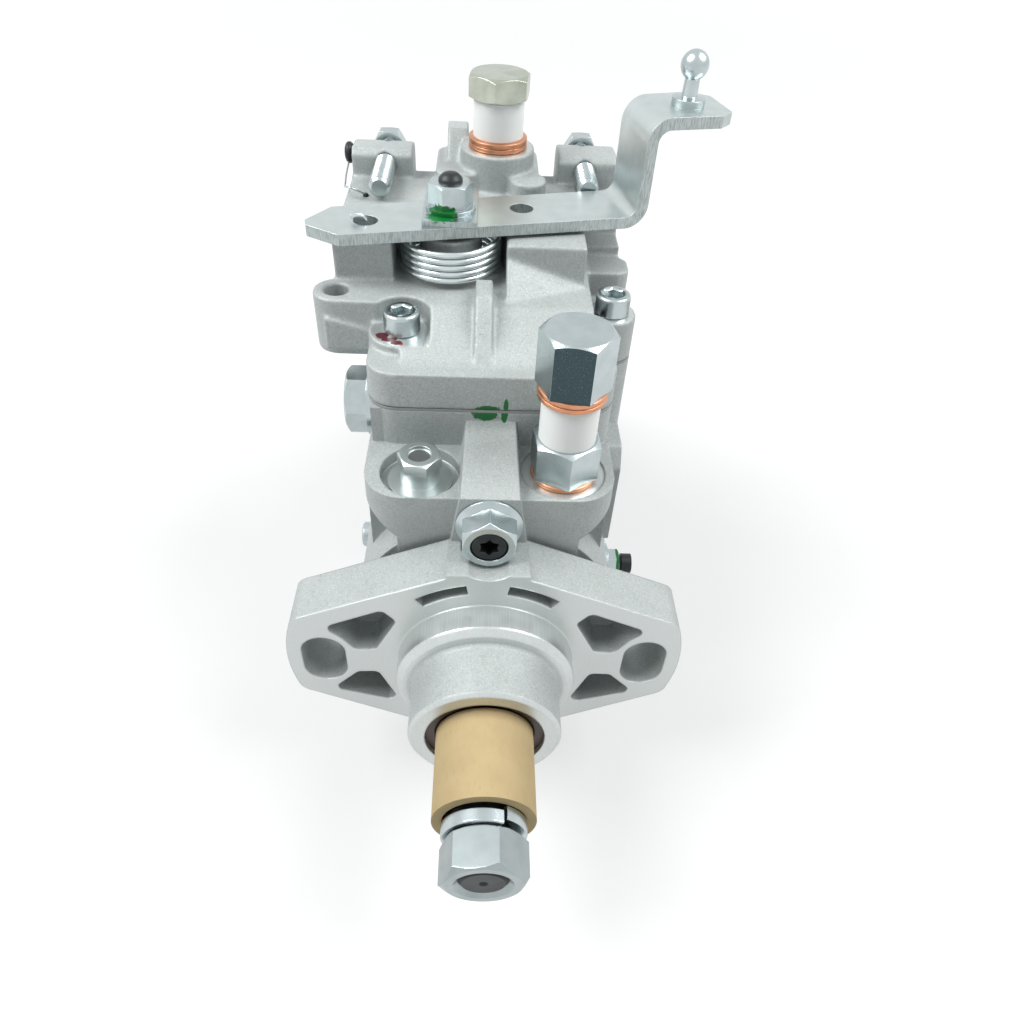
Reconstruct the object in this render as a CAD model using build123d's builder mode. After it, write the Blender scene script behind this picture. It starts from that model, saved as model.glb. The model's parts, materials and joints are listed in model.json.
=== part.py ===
# Rotary diesel injection pump: two-bolt flange, cast housing, governor cover with throttle lever.
# Frame: origin at the pilot's centre on the mounting face, -Y towards the drive end, +Z up, millimetres.
import os
from math import cos, pi, radians, sin, sqrt, tan

from build123d import *

# Fits and clearances
running_gap = 0.05
seat_gap = 0.3
stack_gap = 0.03

# Drive shaft, nose and seal
shaft_r = 10.0
bush_r = 12.5
bush_front = -11.0
bush_back = 16.0
seal_r = 16.0
seal_front = -23.7
seal_back = -13.0
seal_lip_gap = 0.15
pilot_r = 25.0
pilot_len = 7.5
nose_r = 20.5
nose_len = 25.2
nose_chamfer = 1.0
thread_r = 6.0
taper_end_r = 8.6
taper_front = -47.0
sleeve_r = 13.0
sleeve_bore = 10.5
sleeve_front = -48.0
washer_r = 10.6
washer_thick = 4.8
shaft_nut_af = 19.0
shaft_nut_len = 10.5
shaft_nut_turn = 12.0
tip_recess = 0.5

# Flange
flange_thick = 14.5
flange_half = 56.3
shoulder_x = 53.4
shoulder_z = 17.4
roof_half = 9.5
roof_z = 35.7
chin_x = 54.0
chin_z = -14.5
keel_x = 20.0
keel_z = -31.5
keel_drop = 4.0
flange_round = 5.0
slot_spacing = 92.0
slot_width = 12.5
slot_height = 19.5
pocket_depth = 10.5
pocket_round = 2.2
arc_slot_r = 31.2
arc_slot_width = 3.6
arc_slot_start = 54.0
arc_slot_sweep = 26.0
arc_slot_depth = 6.0
ridge_half = 11.0
ridge_z = 36.4

# Housing
barrel_r = 38.5
rear_y = 130.0
platform_front = 16.0
platform_z = 48.5
platform_round = 11.0
box_half = 34.0
platform_half = box_half
box_front = 38.5
box_round = 8.0
wall = 6.0
joint_z = 60.0
pump_bore_r = 28.0
pump_bore_front = 19.0
chamber_r = 31.4
chamber_front = 38.0
column_top_half = 6.8
column_draft = 0.16
column_step_y = 21.5
column_front_z = 54.0
column_back_z = 57.5
side_boss_out = 5.0
side_boss_z = 44.0
under_half = 25.0
under_z = 34.0
neck_r = 33.0

# Governor gear train
gear_module = 1.5
drive_teeth = 34
governor_teeth = 23
gear_front = 46.0
gear_thick = 7.0
governor_z = gear_module * (drive_teeth + governor_teeth) / 2
governor_shaft_r = 4.0
governor_seat_y = 12.5
governor_thread_r = 5.0
governor_thread_len = 18.0
torx_r = 2.9
governor_nut_af = 14.0
governor_nut_flange_r = 9.0
governor_nut_flange = 2.2
governor_nut_len = 8.4
governor_tail = 90.0

# Valve and fuel inlet on the platform
valve_x = -19.0
valve_y = 27.0
valve_bore_r = 8.0
valve_recess_r = 10.8
valve_recess = 3.6
valve_depth = 11.0
valve_neck_r = 5.3
valve_flange_r = 8.9
valve_flange = 1.2
valve_hex_z = 2.6
valve_hex_len = 3.4
valve_dish = 1.1
valve_wall = 3.0
port_depth = 12.0
inlet_x = 20.0
inlet_y = 28.4
inlet_spot_r = 11.6
inlet_thread_r = 6.0
copper_r = 9.0
copper_bore = 6.2
copper_thick = 1.5
nylon_r = 7.65
nylon_bore = 6.2
connector_af = 17.0
connector_len = 11.4
inlet_nylon_len = 13.0
connector_turn = 35
inlet_turn = 50
overflow_turn = 22
valve_turn = 51
inlet_head_len = 15.6
overflow_nylon_len = 10.7
overflow_head_len = 6.8

# Cover
gasket_thick = 0.8
cover_band_z = 71.5
cover_rear = 132.0
slope_foot_y = 42.5
flat_y = 60.0
flat_z = 80.0
block_front = 73.0
block_z = 91.8
block_left_out = 11.0
block_right_in = 8.0
block_left = box_half + block_left_out
block_right = box_half - block_right_in
ramp_turn = 22.8
ramp_start = (3.0, 62.0)
ramp_run = 14.0
roof_thick = 5.5
ear_out = 9.9
ear_x = box_half + ear_out
ear_root = 14.0
ear_y = 67.4
ear_end_r = 6.6
ear_hole_r = 3.5
ear_z = 63.0
ear_ridge = 0.9
screw_r = 3.0
screw_head_r = 5.0
screw_head_len = 6.0
screw_seat_z = 74.0
screw_len = 30.0
screw_socket_r = 2.9
screw_socket_depth = 3.0
screw_chamfer = 0.6
head_gap = 0.6
left_screw_in = 9.0
right_screw_out = 0.6
rear_screw_out = 1.4
screw_spots = [(left_screw_in - box_half, 57.0), (box_half + right_screw_out, 70.6),
               (-box_half - rear_screw_out, 116.0), (box_half + rear_screw_out, 116.0)]
screw_boss_r = 7.2
rear_boss_r = 6.2
boss_radii = (screw_boss_r, screw_boss_r, rear_boss_r, rear_boss_r)
rear_seat_z = 42.0
slope_left = left_screw_in - box_half
slope_right = box_half - 6.0
pad_out = 7.0
pad_x = box_half + pad_out
pad_front = 83.5
pad_back = 95.0
pad_z = 79.6
pad_round = 4.0
step_out = 4.6
step_z = 82.5
rib_x = -2.6
rib_half = 2.2
rib_z = 83.4
rib_back = 67.0
overflow_x = 0.7
overflow_back = 12.3
overflow_boss_r = 11.4
overflow_boss_z = 102.7
tower_left = 19.0
tower_right = 13.0
tower_front = 10.0
tower_z = 97.0
tower_round = 4.0
fin_x = -15.0
fin_width = 6.5
fin_z = 105.5
fin_round = 0.8
knob_x = 10.2
knob_y = 108.6
knob_r = 5.6
knob_z = 96.8

# Throttle
throttle_x = -12.5
throttle_y = 83.2
throttle_r = 4.5
throttle_boss_r = 9.0
throttle_boss_z = 91.5
lever_angle = 13.5
lever_z = 92.8
lever_thick = 3.2
lever_half = 9.3
lever_right_half = 10.1
lever_tip = 40.2
lever_shoulder = 32.3
lever_riser = 52.0
lever_tab_end = 77.0
lever_rise = 29.7
lever_bend = 3.4
lever_hole_r = 3.4
link_hole_x = -24.0
spare_hole_x = 20.8
plate_thick = 1.6
plate_half = 7.6
plate_front = 9.6
plate_back = 13.4
lever_nut_af = 11.0
lever_nut_len = 6.4
lever_nut_flange_r = 7.0
lever_nut_flange = 1.2
stud_r = 3.3
crank_throw = 4.0
crank_pin_r = 1.8
stud_top = 3.2
spring_r = 13.9
spring_wire = 0.9
spring_turns = 5.6
recess_gap = 1.2
ball_r = 3.8
ball_x = 66.8
ball_height = 10.0
adjust_cap_r = 3.9
adjust_r = 3.0
adjust_z = 96.0
idle_x = -34.2
idle_tip_y = 99.3
speed_x = 28.3
speed_tip_y = 104.3
lug_front = 118.5
lug_back = 132.0
speed_lug_back = 135.0
lug_half = 8.4
lug_out = 10.4
lug_z = 100.2
adjust_af = 10.0
adjust_nut_len = 5.0
adjust_tail = 4.0

# Side plug
plug_y = 57.5
plug_z = 50.0
plug_af = 17.0
plug_r = 7.0
plug_depth = 4.0
plug_head = 6.5
plug_collar_r = 10.4
plug_collar = 1.6

# Timer
timer_y = 79.0
timer_z = -42.0
timer_r = 10.0
timer_half = 37.0
timer_front = 60.0
timer_back = 98.0
timer_bottom = -56.0
timer_piston_half = 15.0
timer_travel = 7.0
timer_rest_x = -5.0
timer_cover_thick = 6.0
timer_cover_boss = 11.5
timer_cover_edge = 5.0
timer_cover_half = 14.5
timer_screw_y = 13.5
timer_pin_r = 3.4

# Roller ring, coupling, cam and plunger
ring_r = 30.6
ring_bore = 18.0
ring_front = 72.0
ring_back = 81.0
roller_r = 4.5
roller_mid_r = 24.5
roller_len = 7.6
roller_y = 81.5
disc_r = 15.5
disc_front = 66.4
disc_back = 79.0
jaw_half = 3.5
jaw_inner = 6.0
cam_r = 29.0
cam_thick = 6.5
lobe_height = 2.2
lobe_count = 4
plunger_r = 5.0
plunger_end = 156.0
foot_r = 23.0
foot_thick = 3.0
return_spring_x = 19.5
return_spring_r = 5.0
return_spring_wire = 1.0
control_r = 12.0
control_front = 108.0
control_len = 10.0

# Vane pump
liner_bore = 21.6
liner_offset = 1.6
pump_len = 13.0
rotor_r = 19.4
vane_half = 1.2
vane_count = 4
plate_len = 4.0

# Flyweights, sliding sleeve and governor lever
weight_count = 4
weight_half = 4.6
weight_pivot_r = 13.0
weight_pivot_y = gear_front + gear_thick + 3.5
weight_in = 9.6
weight_out = 16.2
weight_len = 14.0
toe_in = 5.8
toe_thick = 3.0
weight_front = 2.2
slider_r = 8.6
slider_len = 14.5
arm_half = 4.6
arm_thick = 4.0
arm_pivot_y = 101.0
arm_pivot_z = 27.0
arm_pivot_r = 3.0
arm_ball_z = 9.9
arm_ball_r = 2.4

# Distributor head
head_spigot = 6.0
head_flange = 12.0
head_flange_half = 37.0
head_r = 33.0
head_len = 36.0
head_bolt_pitch = 29.0
valve_pitch_r = 22.0
holder_r = 6.9
holder_af = 17.0
holder_hex = 9.0
holder_len = 30.0
holder_bore = 4.2
head_plug_af = 19.0
solenoid_y = 154.5
solenoid_r = 11.0
solenoid_af = 24.0
solenoid_z = 33.0
solenoid_len = 30.0

shaft_axis = Axis.Y
governor_axis = Axis((0, 0, governor_z), (0, 1, 0))
throttle_axis = Axis((throttle_x, throttle_y, 0), (0, 0, 1))
inlet_axis = Axis((inlet_x, inlet_y, 0), (0, 0, 1))
overflow_y = cover_rear - overflow_back
overflow_axis = Axis((overflow_x, overflow_y, 0), (0, 0, 1))
valve_axis = Axis((valve_x, valve_y, 0), (0, 0, 1))
timer_axis = Axis((0, timer_y, timer_z), (1, 0, 0))
cover_z = joint_z + gasket_thick


# A plane across the pump at depth y, seen from the drive end: local x is X, local y is Z.
def across(y, x=0, z=0):
    return Plane((x, y, z), x_dir=(1, 0, 0), z_dir=(0, -1, 0))


# A plane facing +X: local x is Y, local y is Z.
def beside(x, y=0, z=0):
    return Plane((x, y, z), x_dir=(0, 1, 0), z_dir=(1, 0, 0))


# A turned solid from (radius, distance along the axis) points.
def turned(points, axis=shaft_axis):
    radial = Vector(0, 0, 1) if abs(axis.direction.X) > 0.5 else Vector(1, 0, 0)
    section = Plane(axis.position, x_dir=radial, z_dir=radial.cross(axis.direction))
    with BuildPart() as body:
        with BuildSketch(section):
            with BuildLine():
                Polyline(*points, close=True)
            make_face()
        revolve(axis=axis)
    return body.part


# A tube or, with no bore, a rod between two distances along an axis.
def tube(start, end, radius, bore=0, axis=shaft_axis):
    return turned([(bore, start), (radius, start), (radius, end), (bore, end)], axis)


# A block between two corners.
def block(low, high):
    size = [b - a for a, b in zip(low, high)]
    middle = Vector(*[(a + b) / 2 for a, b in zip(low, high)])
    with BuildPart() as body:
        with Locations(middle):
            Box(*size)
    return body.part


# An upright block with rounded vertical corners.
def rounded_block(low, high, corner):
    with BuildPart() as body:
        with BuildSketch(Plane(((low[0] + high[0]) / 2, (low[1] + high[1]) / 2, low[2]))):
            RectangleRounded(high[0] - low[0], high[1] - low[1], corner)
        extrude(amount=high[2] - low[2])
    return body.part


# A prism from polygon points on a plane.
def prism(plane, points, depth, corner=0):
    with BuildPart() as body:
        with BuildSketch(plane) as outline:
            with BuildLine():
                Polyline(*points, close=True)
            make_face()
            if corner:
                fillet(outline.vertices(), corner)
        extrude(amount=depth)
    return body.part


# A hexagon with its corners turned off at the far end, and at the near end too where asked.
def hexagon(plane, across_flats, length, turn=0, near_end=False):
    corner = across_flats / sqrt(3) + 0.5
    crown = 0.48 * across_flats
    drop = (corner - crown) * tan(radians(30))
    foot = [(0, 0), (crown, 0), (corner, drop)] if near_end else [(0, 0), (corner, 0)]
    with BuildPart() as body:
        with BuildSketch(plane):
            RegularPolygon(across_flats / 2, 6, major_radius=False, rotation=turn)
        extrude(amount=length)
        add(turned_about(plane, foot + [(corner, length - drop), (crown, length), (0, length)]),
            mode=Mode.INTERSECT)
    return body.part


# A turned solid about a plane's normal.
def turned_about(plane, points):
    section = Plane(plane.origin, x_dir=plane.x_dir, z_dir=-plane.y_dir)
    with BuildPart() as body:
        with BuildSketch(section):
            with BuildLine():
                Polyline(*points, close=True)
            make_face()
        revolve(axis=Axis(plane.origin, plane.z_dir))
    return body.part


# A socket-head cap screw: its head stands on the plane, its shank goes down from it.
def cap_screw(seat, shank):
    socket = [(screw_socket_r * cos(k * pi / 3), screw_socket_r * sin(k * pi / 3)) for k in range(6)]
    with BuildPart() as body:
        add(turned_about(seat, [(0, -shank), (screw_r, -shank), (screw_r, 0), (screw_head_r, 0),
                                (screw_head_r, screw_head_len - screw_chamfer),
                                (screw_head_r - screw_chamfer, screw_head_len), (0, screw_head_len)]))
        add(prism(seat.offset(screw_head_len), socket, -screw_socket_depth), mode=Mode.SUBTRACT)
    return body.part


# A coil spring that starts on a plane and rises along its normal.
def coil(plane, radius, wire, length, turns):
    with BuildPart() as body:
        with BuildLine() as path:
            Helix(length / turns, length, radius, center=plane.origin, direction=plane.z_dir)
        with BuildSketch(Plane(path.line @ 0, z_dir=path.line % 0)):
            Circle(wire)
        sweep(is_frenet=True)
    return body.part


# A straight-flanked gear; the phase is the angle of its first tooth.
def gear(y, depth, teeth, bore, centre_z, phase):
    pitch_r = gear_module * teeth / 2
    step = 2 * pi / teeth
    outline = []
    for tooth in range(teeth):
        middle = radians(phase) + tooth * step
        for share, radius in ((-0.26, pitch_r - 1.25 * gear_module),
                              (-0.11, pitch_r + 0.85 * gear_module),
                              (0.11, pitch_r + 0.85 * gear_module), (0.26, pitch_r - 1.25 * gear_module)):
            outline.append((radius * cos(middle + share * step), radius * sin(middle + share * step)))
    with BuildPart() as body:
        with BuildSketch(across(y + depth, 0, centre_z)):
            with BuildLine():
                Polyline(*outline, close=True)
            make_face()
            Circle(bore, mode=Mode.SUBTRACT)
        extrude(amount=depth)
    return body.part


# The flange: a lens-shaped plate with straight roof lines.
with BuildPart() as flange:
    with BuildSketch(across(flange_thick)) as flange_outline:
        with BuildLine():
            Line((0, roof_z), (roof_half, roof_z))
            Line((roof_half, roof_z), (shoulder_x, shoulder_z))
            ThreePointArc((shoulder_x, shoulder_z), (flange_half, 2.5), (chin_x, chin_z))
            Line((chin_x, chin_z), (keel_x, keel_z))
            ThreePointArc((keel_x, keel_z), (keel_x / 2, keel_z - keel_drop * 0.75),
                          (0, keel_z - keel_drop))
            mirror(about=Plane.YZ)
        make_face()
        fillet([v for v in flange_outline.vertices() if abs(v.X) > keel_x + 1], flange_round)
    extrude(amount=flange_thick)
    with BuildSketch(across(-1)):
        with GridLocations(slot_spacing, 1, 2, 1):
            SlotOverall(slot_height, slot_width, rotation=90)
    extrude(amount=-flange_thick - 2, mode=Mode.SUBTRACT)

# Weight-saving pockets on both sides of the slots, and two arc slots under the roof.
upper_pocket = [(45.2, 14.4), (28.4, 22.0), (24.6, 17.4), (31.0, 4.8), (36.8, 4.5), (40.3, 9.6)]
lower_pocket = [(45.2, -14.6), (37.0, -5.8), (31.0, -5.6), (25.2, -21.0)]
with BuildPart() as pockets:
    for points in (upper_pocket, lower_pocket):
        add(prism(across(0), points, -pocket_depth, pocket_round))
    wedge = [(0, 0)]
    for angle in (radians(arc_slot_start), radians(arc_slot_start + arc_slot_sweep)):
        wedge.append((2 * arc_slot_r * cos(angle), 2 * arc_slot_r * sin(angle)))
    arc_slot = tube(-1, arc_slot_depth, arc_slot_r + arc_slot_width / 2, arc_slot_r - arc_slot_width / 2)
    add(arc_slot & prism(across(arc_slot_depth), wedge, arc_slot_depth + 1))
    mirror(about=Plane.YZ)

# The drafted column over the governor shaft.
column_side = [(governor_seat_y, 20.0), (governor_seat_y, governor_z + governor_nut_flange_r),
               (column_step_y, column_front_z), (box_front + 2, column_back_z), (box_front + 2, 20.0)]
column_foot_half = column_top_half + column_draft * (column_back_z - 20.0)
with BuildPart() as column:
    add(prism(across(box_front + 2), [(-column_foot_half, 20.0), (-column_top_half, column_back_z),
                                      (column_top_half, column_back_z), (column_foot_half, 20.0)],
              box_front + 2 - governor_seat_y))
    add(prism(beside(-column_foot_half), column_side, 2 * column_foot_half), mode=Mode.INTERSECT)

with BuildPart() as pump_housing:
    add(flange.part)
    add(turned([(0, 5), (pilot_r, 5), (pilot_r, -pilot_len), (pilot_r - 1.8, -pilot_len - 1.8),
                (nose_r + 0.6, -pilot_len - 2.2), (nose_r, -pilot_len - 3),
                (nose_r, nose_chamfer - nose_len),
                (nose_r - nose_chamfer, -nose_len), (0, -nose_len)]))
    add(rounded_block((-platform_half, platform_front, 0),
                      (platform_half, box_front + 2 * platform_round, platform_z), platform_round))
    add(rounded_block((-box_half, box_front, 0), (box_half, rear_y, joint_z), box_round))
    for side in (-1, 1):
        add(prism(across(platform_front - 1), [(side * under_half, -1), (side * under_half, under_z),
                                               (side * (platform_half + 1), under_z + 8),
                                               (side * (platform_half + 1), -1)],
                  -platform_round - 3), mode=Mode.SUBTRACT)
    add(tube(flange_thick - 4, platform_front + 3, neck_r, 0))
    add(tube(platform_front + 2, rear_y, barrel_r))
    add(column.part)
    add(block((-ridge_half, 0, 20), (ridge_half, governor_seat_y, ridge_z)))
    boss_feet = (timer_z / 4, rear_seat_z, rear_seat_z)
    for (x, y), radius, foot in zip(screw_spots[1:], boss_radii[1:], boss_feet):
        add(tube(foot, joint_z, radius, 0, Axis((x, y, 0), (0, 0, 1))))
        add(block((min(x, 0), y - radius, foot), (max(x, 0), y + radius, joint_z)))
    add(prism(beside(box_half - 4), [(42, 8), (42, side_boss_z - 6), (46, side_boss_z),
                                     (58, side_boss_z), (60, side_boss_z - 6), (60, 8)],
              side_boss_out + 4, 2))
    add(block((-timer_half, timer_front, timer_bottom), (timer_half, timer_back, -10)))
    add(rounded_block((-platform_half, rear_y - head_flange, 0), (platform_half, rear_y, joint_z), 3))
    with BuildSketch(across(rear_y)):
        RectangleRounded(2 * head_flange_half, 2 * head_flange_half, 8)
    extrude(amount=head_flange)
    add(pockets.part, mode=Mode.SUBTRACT)
    add(tube(-nose_len - 1, seal_back, seal_r, 0), mode=Mode.SUBTRACT)
    add(tube(seal_back - 1, pump_bore_front + 1, bush_r, 0), mode=Mode.SUBTRACT)
    add(tube(pump_bore_front, chamber_front + 1, pump_bore_r, 0), mode=Mode.SUBTRACT)
    add(tube(chamber_front, rear_y + 1, chamber_r, 0), mode=Mode.SUBTRACT)
    add(block((wall - box_half, box_front + wall, 0),
              (box_half - wall, rear_y - head_flange - 1, joint_z + 1)),
        mode=Mode.SUBTRACT)
    for x, y in screw_spots[:1]:
        corner = tube(0, joint_z, screw_boss_r - 1.7, 0, Axis((x, y, 0), (0, 0, 1)))
        add(corner)
        add(block((-box_half + 1, box_front + 1, 0), (x, y, joint_z)))
    add(tube(chamber_front, rear_y + 1, chamber_r, 0), mode=Mode.SUBTRACT)
    add(tube(-1, governor_seat_y - governor_nut_flange, 8.2, 0, governor_axis), mode=Mode.SUBTRACT)
    add(tube(governor_seat_y - governor_nut_flange - 1.2, governor_seat_y, governor_nut_flange_r + 0.8, 0,
             governor_axis), mode=Mode.SUBTRACT)
    add(tube(0, box_front + wall + 1, governor_shaft_r, 0, governor_axis), mode=Mode.SUBTRACT)
    add(tube(0, governor_seat_y + governor_thread_len - governor_nut_len, governor_thread_r, 0,
             governor_axis),
        mode=Mode.SUBTRACT)
    add(tube(platform_z - valve_recess, platform_z + 1, valve_recess_r, 0, valve_axis),
        mode=Mode.SUBTRACT)
    add(tube(platform_z - valve_depth, platform_z, valve_bore_r, 0, valve_axis), mode=Mode.SUBTRACT)
    add(tube(platform_z - 0.5, platform_z + 1, inlet_spot_r, 0, inlet_axis), mode=Mode.SUBTRACT)
    add(tube(platform_z - port_depth, platform_z, inlet_thread_r, 0, inlet_axis), mode=Mode.SUBTRACT)
    plug_axis = Axis((0, plug_y, plug_z), (1, 0, 0))
    add(tube(-box_half - 1, plug_depth - box_half, plug_r, 0, plug_axis), mode=Mode.SUBTRACT)
    arm_axis = Axis((0, arm_pivot_y, arm_pivot_z), (1, 0, 0))
    add(tube(-box_half + wall - 3.3, box_half - wall + 3.3, arm_pivot_r + running_gap, 0, arm_axis),
        mode=Mode.SUBTRACT)
    add(tube(-timer_half - 1, timer_half + 1, timer_r, 0, timer_axis), mode=Mode.SUBTRACT)
    add(block((-timer_half / 3, timer_y - 5, timer_z), (timer_half / 3, timer_y + 5, 0)),
        mode=Mode.SUBTRACT)
    for x, y in screw_spots[:2]:
        add(tube(screw_seat_z - screw_len - 2, joint_z + 1, screw_r, 0, Axis((x, y, 0), (0, 0, 1))),
            mode=Mode.SUBTRACT)
    for x, y in screw_spots[2:]:
        post = Axis((x, y, 0), (0, 0, 1))
        add(tube(rear_seat_z - 1, joint_z + 1, screw_r + 0.3, 0, post), mode=Mode.SUBTRACT)
        add(tube(rear_seat_z - screw_head_len - 2, rear_seat_z, screw_head_r + head_gap, 0, post),
            mode=Mode.SUBTRACT)
    for x in (-head_bolt_pitch, head_bolt_pitch):
        for z in (-head_bolt_pitch, head_bolt_pitch):
            add(tube(rear_y - head_flange - 2, rear_y + 1, screw_r, 0, Axis((x, 0, z), (0, 1, 0))),
                mode=Mode.SUBTRACT)

# Gasket and governor cover share the box outline.
cavity_low = (wall - box_half, box_front + wall, cover_z)
cavity_back = rear_y - head_flange - 1
with BuildPart() as cover_gasket:
    add(rounded_block((-box_half, box_front, joint_z), (box_half, rear_y, cover_z), box_round))
    for (x, y), radius in zip(screw_spots, boss_radii):
        add(tube(joint_z, cover_z, radius, 0, Axis((x, y, 0), (0, 0, 1))))
        add(block((min(x, 0), y - radius, joint_z), (max(x, 0), y + radius, cover_z)))
    add(block((cavity_low[0], cavity_low[1], joint_z - 1), (-cavity_low[0], cavity_back, cover_z + 1)),
        mode=Mode.SUBTRACT)
    x, y = screw_spots[0]
    add(tube(joint_z, cover_z, screw_boss_r - 1.7, 0, Axis((x, y, 0), (0, 0, 1))))
    for x, y in screw_spots:
        add(tube(joint_z - 1, cover_z + 1, screw_r + 0.3, 0, Axis((x, y, 0), (0, 0, 1))),
            mode=Mode.SUBTRACT)

slope_side = [(box_front + 1, cover_z), (box_front + 1, cover_band_z - 1), (slope_foot_y, cover_band_z),
              (slope_foot_y + 2, cover_band_z + 0.6), (flat_y, flat_z), (block_front + 20, flat_z),
              (block_front + 20, cover_z)]
ramp_plane = Plane((*ramp_start, 0), x_dir=(-sin(radians(ramp_turn)), cos(radians(ramp_turn)), 0),
                   z_dir=(cos(radians(ramp_turn)), sin(radians(ramp_turn)), 0))
with BuildPart() as governor_cover:
    add(rounded_block((-box_half, box_front, cover_z), (box_half, rear_y, cover_band_z), box_round))
    add(prism(beside(slope_left), slope_side, slope_right - slope_left))
    add(block((-block_left, block_front, cover_band_z - 2), (block_right, cover_rear - 6, block_z)))
    add(prism(ramp_plane, [(0, flat_z), (ramp_run, block_z), (2 * ramp_run, block_z),
                           (2 * ramp_run, flat_z - 4), (0, flat_z - 4)],
              (block_right - ramp_start[0]) / cos(radians(ramp_turn))))
    add(block((block_right - 2, pad_back, cover_band_z - 2), (box_half + step_out, lug_front - 8, step_z)))
    ear_inner = ear_root - box_half
    add(prism(Plane.XY.offset(ear_z), [(-ear_x, ear_y - ear_end_r), (ear_inner, ear_y - ear_end_r),
                                       (ear_inner, block_front + 1), (-ear_x, block_front + 1)],
              flat_z - ear_z))
    add(tube(ear_z, flat_z, ear_end_r, 0, Axis((-ear_x, ear_y, 0), (0, 0, 1))))
    add(prism(across(ear_y - ear_end_r + 1), [(-ear_x - 3, ear_z + 2), (-ear_x - 3, ear_z + 12),
                                              (wall - box_half, ear_z + 6.5), (wall - box_half, ear_z + 2)],
              1 + ear_ridge))
    add(rounded_block((block_right - 4, pad_front, cover_z), (pad_x, pad_back, pad_z), pad_round))
    add(prism(beside(rib_x - rib_half), [(slope_foot_y, cover_band_z - 1), (flat_y - 2, rib_z),
                                         (rib_back, rib_z),
                                         (rib_back, flat_z - 3)], 2 * rib_half))
    for (x, y), radius in zip(screw_spots, boss_radii):
        add(tube(cover_z, screw_seat_z, radius, 0, Axis((x, y, 0), (0, 0, 1))))
        add(block((min(x, 0), y - radius, cover_z), (max(x, 0), y + radius, cover_band_z)))
    for left, right, back in ((idle_x - lug_out, idle_x + lug_half, lug_back),
                              (speed_x - lug_half, speed_x + lug_out, speed_lug_back)):
        add(prism(beside(left), [(lug_front, block_z - 8), (lug_front, lug_z - 2), (lug_front + 2, lug_z),
                                 (back - 2, lug_z - 0.8), (back, lug_z - 4), (back, block_z - 8)],
                  right - left))
    add(block((idle_x - lug_out, lug_front - 14, block_z - 12),
              (speed_x + lug_out, lug_back - 2, block_z - 2)))
    add(rounded_block((overflow_x - tower_left, overflow_y - tower_front, block_z - 6),
                      (overflow_x + tower_right, cover_rear + 2, tower_z), tower_round))
    add(tube(block_z - 8, overflow_boss_z, overflow_boss_r, 0, overflow_axis))
    add(prism(beside(fin_x), [(overflow_y - 2, tower_z - 1), (overflow_y + 8, fin_z - 1),
                              (cover_rear + 1, fin_z), (cover_rear + 1, tower_z - 7),
                              (overflow_y - 2, tower_z - 7)], fin_width, fin_round))
    add(tube(block_z - 4, knob_z, knob_r, 0, Axis((knob_x, knob_y, 0), (0, 0, 1))))
    recess_r = spring_r + spring_wire + recess_gap
    add(tube(flat_z, block_z + 4, recess_r, 0, throttle_axis), mode=Mode.SUBTRACT)
    add(block((throttle_x - recess_r, flat_y, flat_z), (throttle_x + recess_r, throttle_y, block_z + 4)),
        mode=Mode.SUBTRACT)
    add(tube(flat_z - 14, throttle_boss_z, throttle_boss_r, 0, throttle_axis))
    x, y = screw_spots[0]
    for spot, radius in zip(screw_spots, (screw_boss_r + head_gap, screw_head_r + 2 * head_gap)):
        add(tube(screw_seat_z, block_z, radius, 0, Axis((*spot, 0), (0, 0, 1))), mode=Mode.SUBTRACT)
    pocket_half = screw_boss_r + head_gap
    add(block((x - pocket_half, box_front, screw_seat_z), (x + pocket_half, y, block_z)),
        mode=Mode.SUBTRACT)
    add(block(cavity_low, (-cavity_low[0], cavity_back, cover_band_z - roof_thick)), mode=Mode.SUBTRACT)
    add(block((cavity_low[0], flat_y, cover_z), (-cavity_low[0], cavity_back, flat_z - roof_thick)),
        mode=Mode.SUBTRACT)
    add(tube(cover_z, screw_seat_z, screw_boss_r - 1.7, 0, Axis((x, y, 0), (0, 0, 1))))
    add(tube(screw_seat_z - roof_thick, screw_seat_z, screw_boss_r + 2.0, 0, Axis((x, y, 0), (0, 0, 1))))
    add(tube(flat_z - 14, flat_z, throttle_boss_r, 0, throttle_axis))
    add(tube(cover_z, throttle_boss_z + 1, throttle_r + running_gap, 0, throttle_axis),
        mode=Mode.SUBTRACT)
    add(tube(ear_z - 1, flat_z + 1, ear_hole_r, 0, Axis((-ear_x, ear_y, 0), (0, 0, 1))),
        mode=Mode.SUBTRACT)
    add(tube(overflow_boss_z - 16, overflow_boss_z + 1, inlet_thread_r, 0, overflow_axis),
        mode=Mode.SUBTRACT)
    for x in (idle_x, speed_x):
        add(tube(lug_front - 1, lug_back + 10, adjust_r, 0, Axis((x, 0, adjust_z), (0, 1, 0))),
            mode=Mode.SUBTRACT)
    for x, y in screw_spots[:2]:
        add(tube(cover_z - 1, screw_seat_z + 1, screw_r + 0.3, 0, Axis((x, y, 0), (0, 0, 1))),
            mode=Mode.SUBTRACT)
    for x, y in screw_spots[2:]:
        add(tube(cover_z - 1, rear_seat_z + screw_len, screw_r, 0, Axis((x, y, 0), (0, 0, 1))),
            mode=Mode.SUBTRACT)

# Socket-head cover screws: the front pair from above, the rear pair from below.
with BuildPart() as cover_screws:
    for (x, y), seat, up in zip(screw_spots, (screw_seat_z, screw_seat_z, rear_seat_z, rear_seat_z),
                                (1, 1, -1, -1)):
        add(cap_screw(Plane((x, y, seat), z_dir=(0, 0, up)), screw_len))

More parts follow.
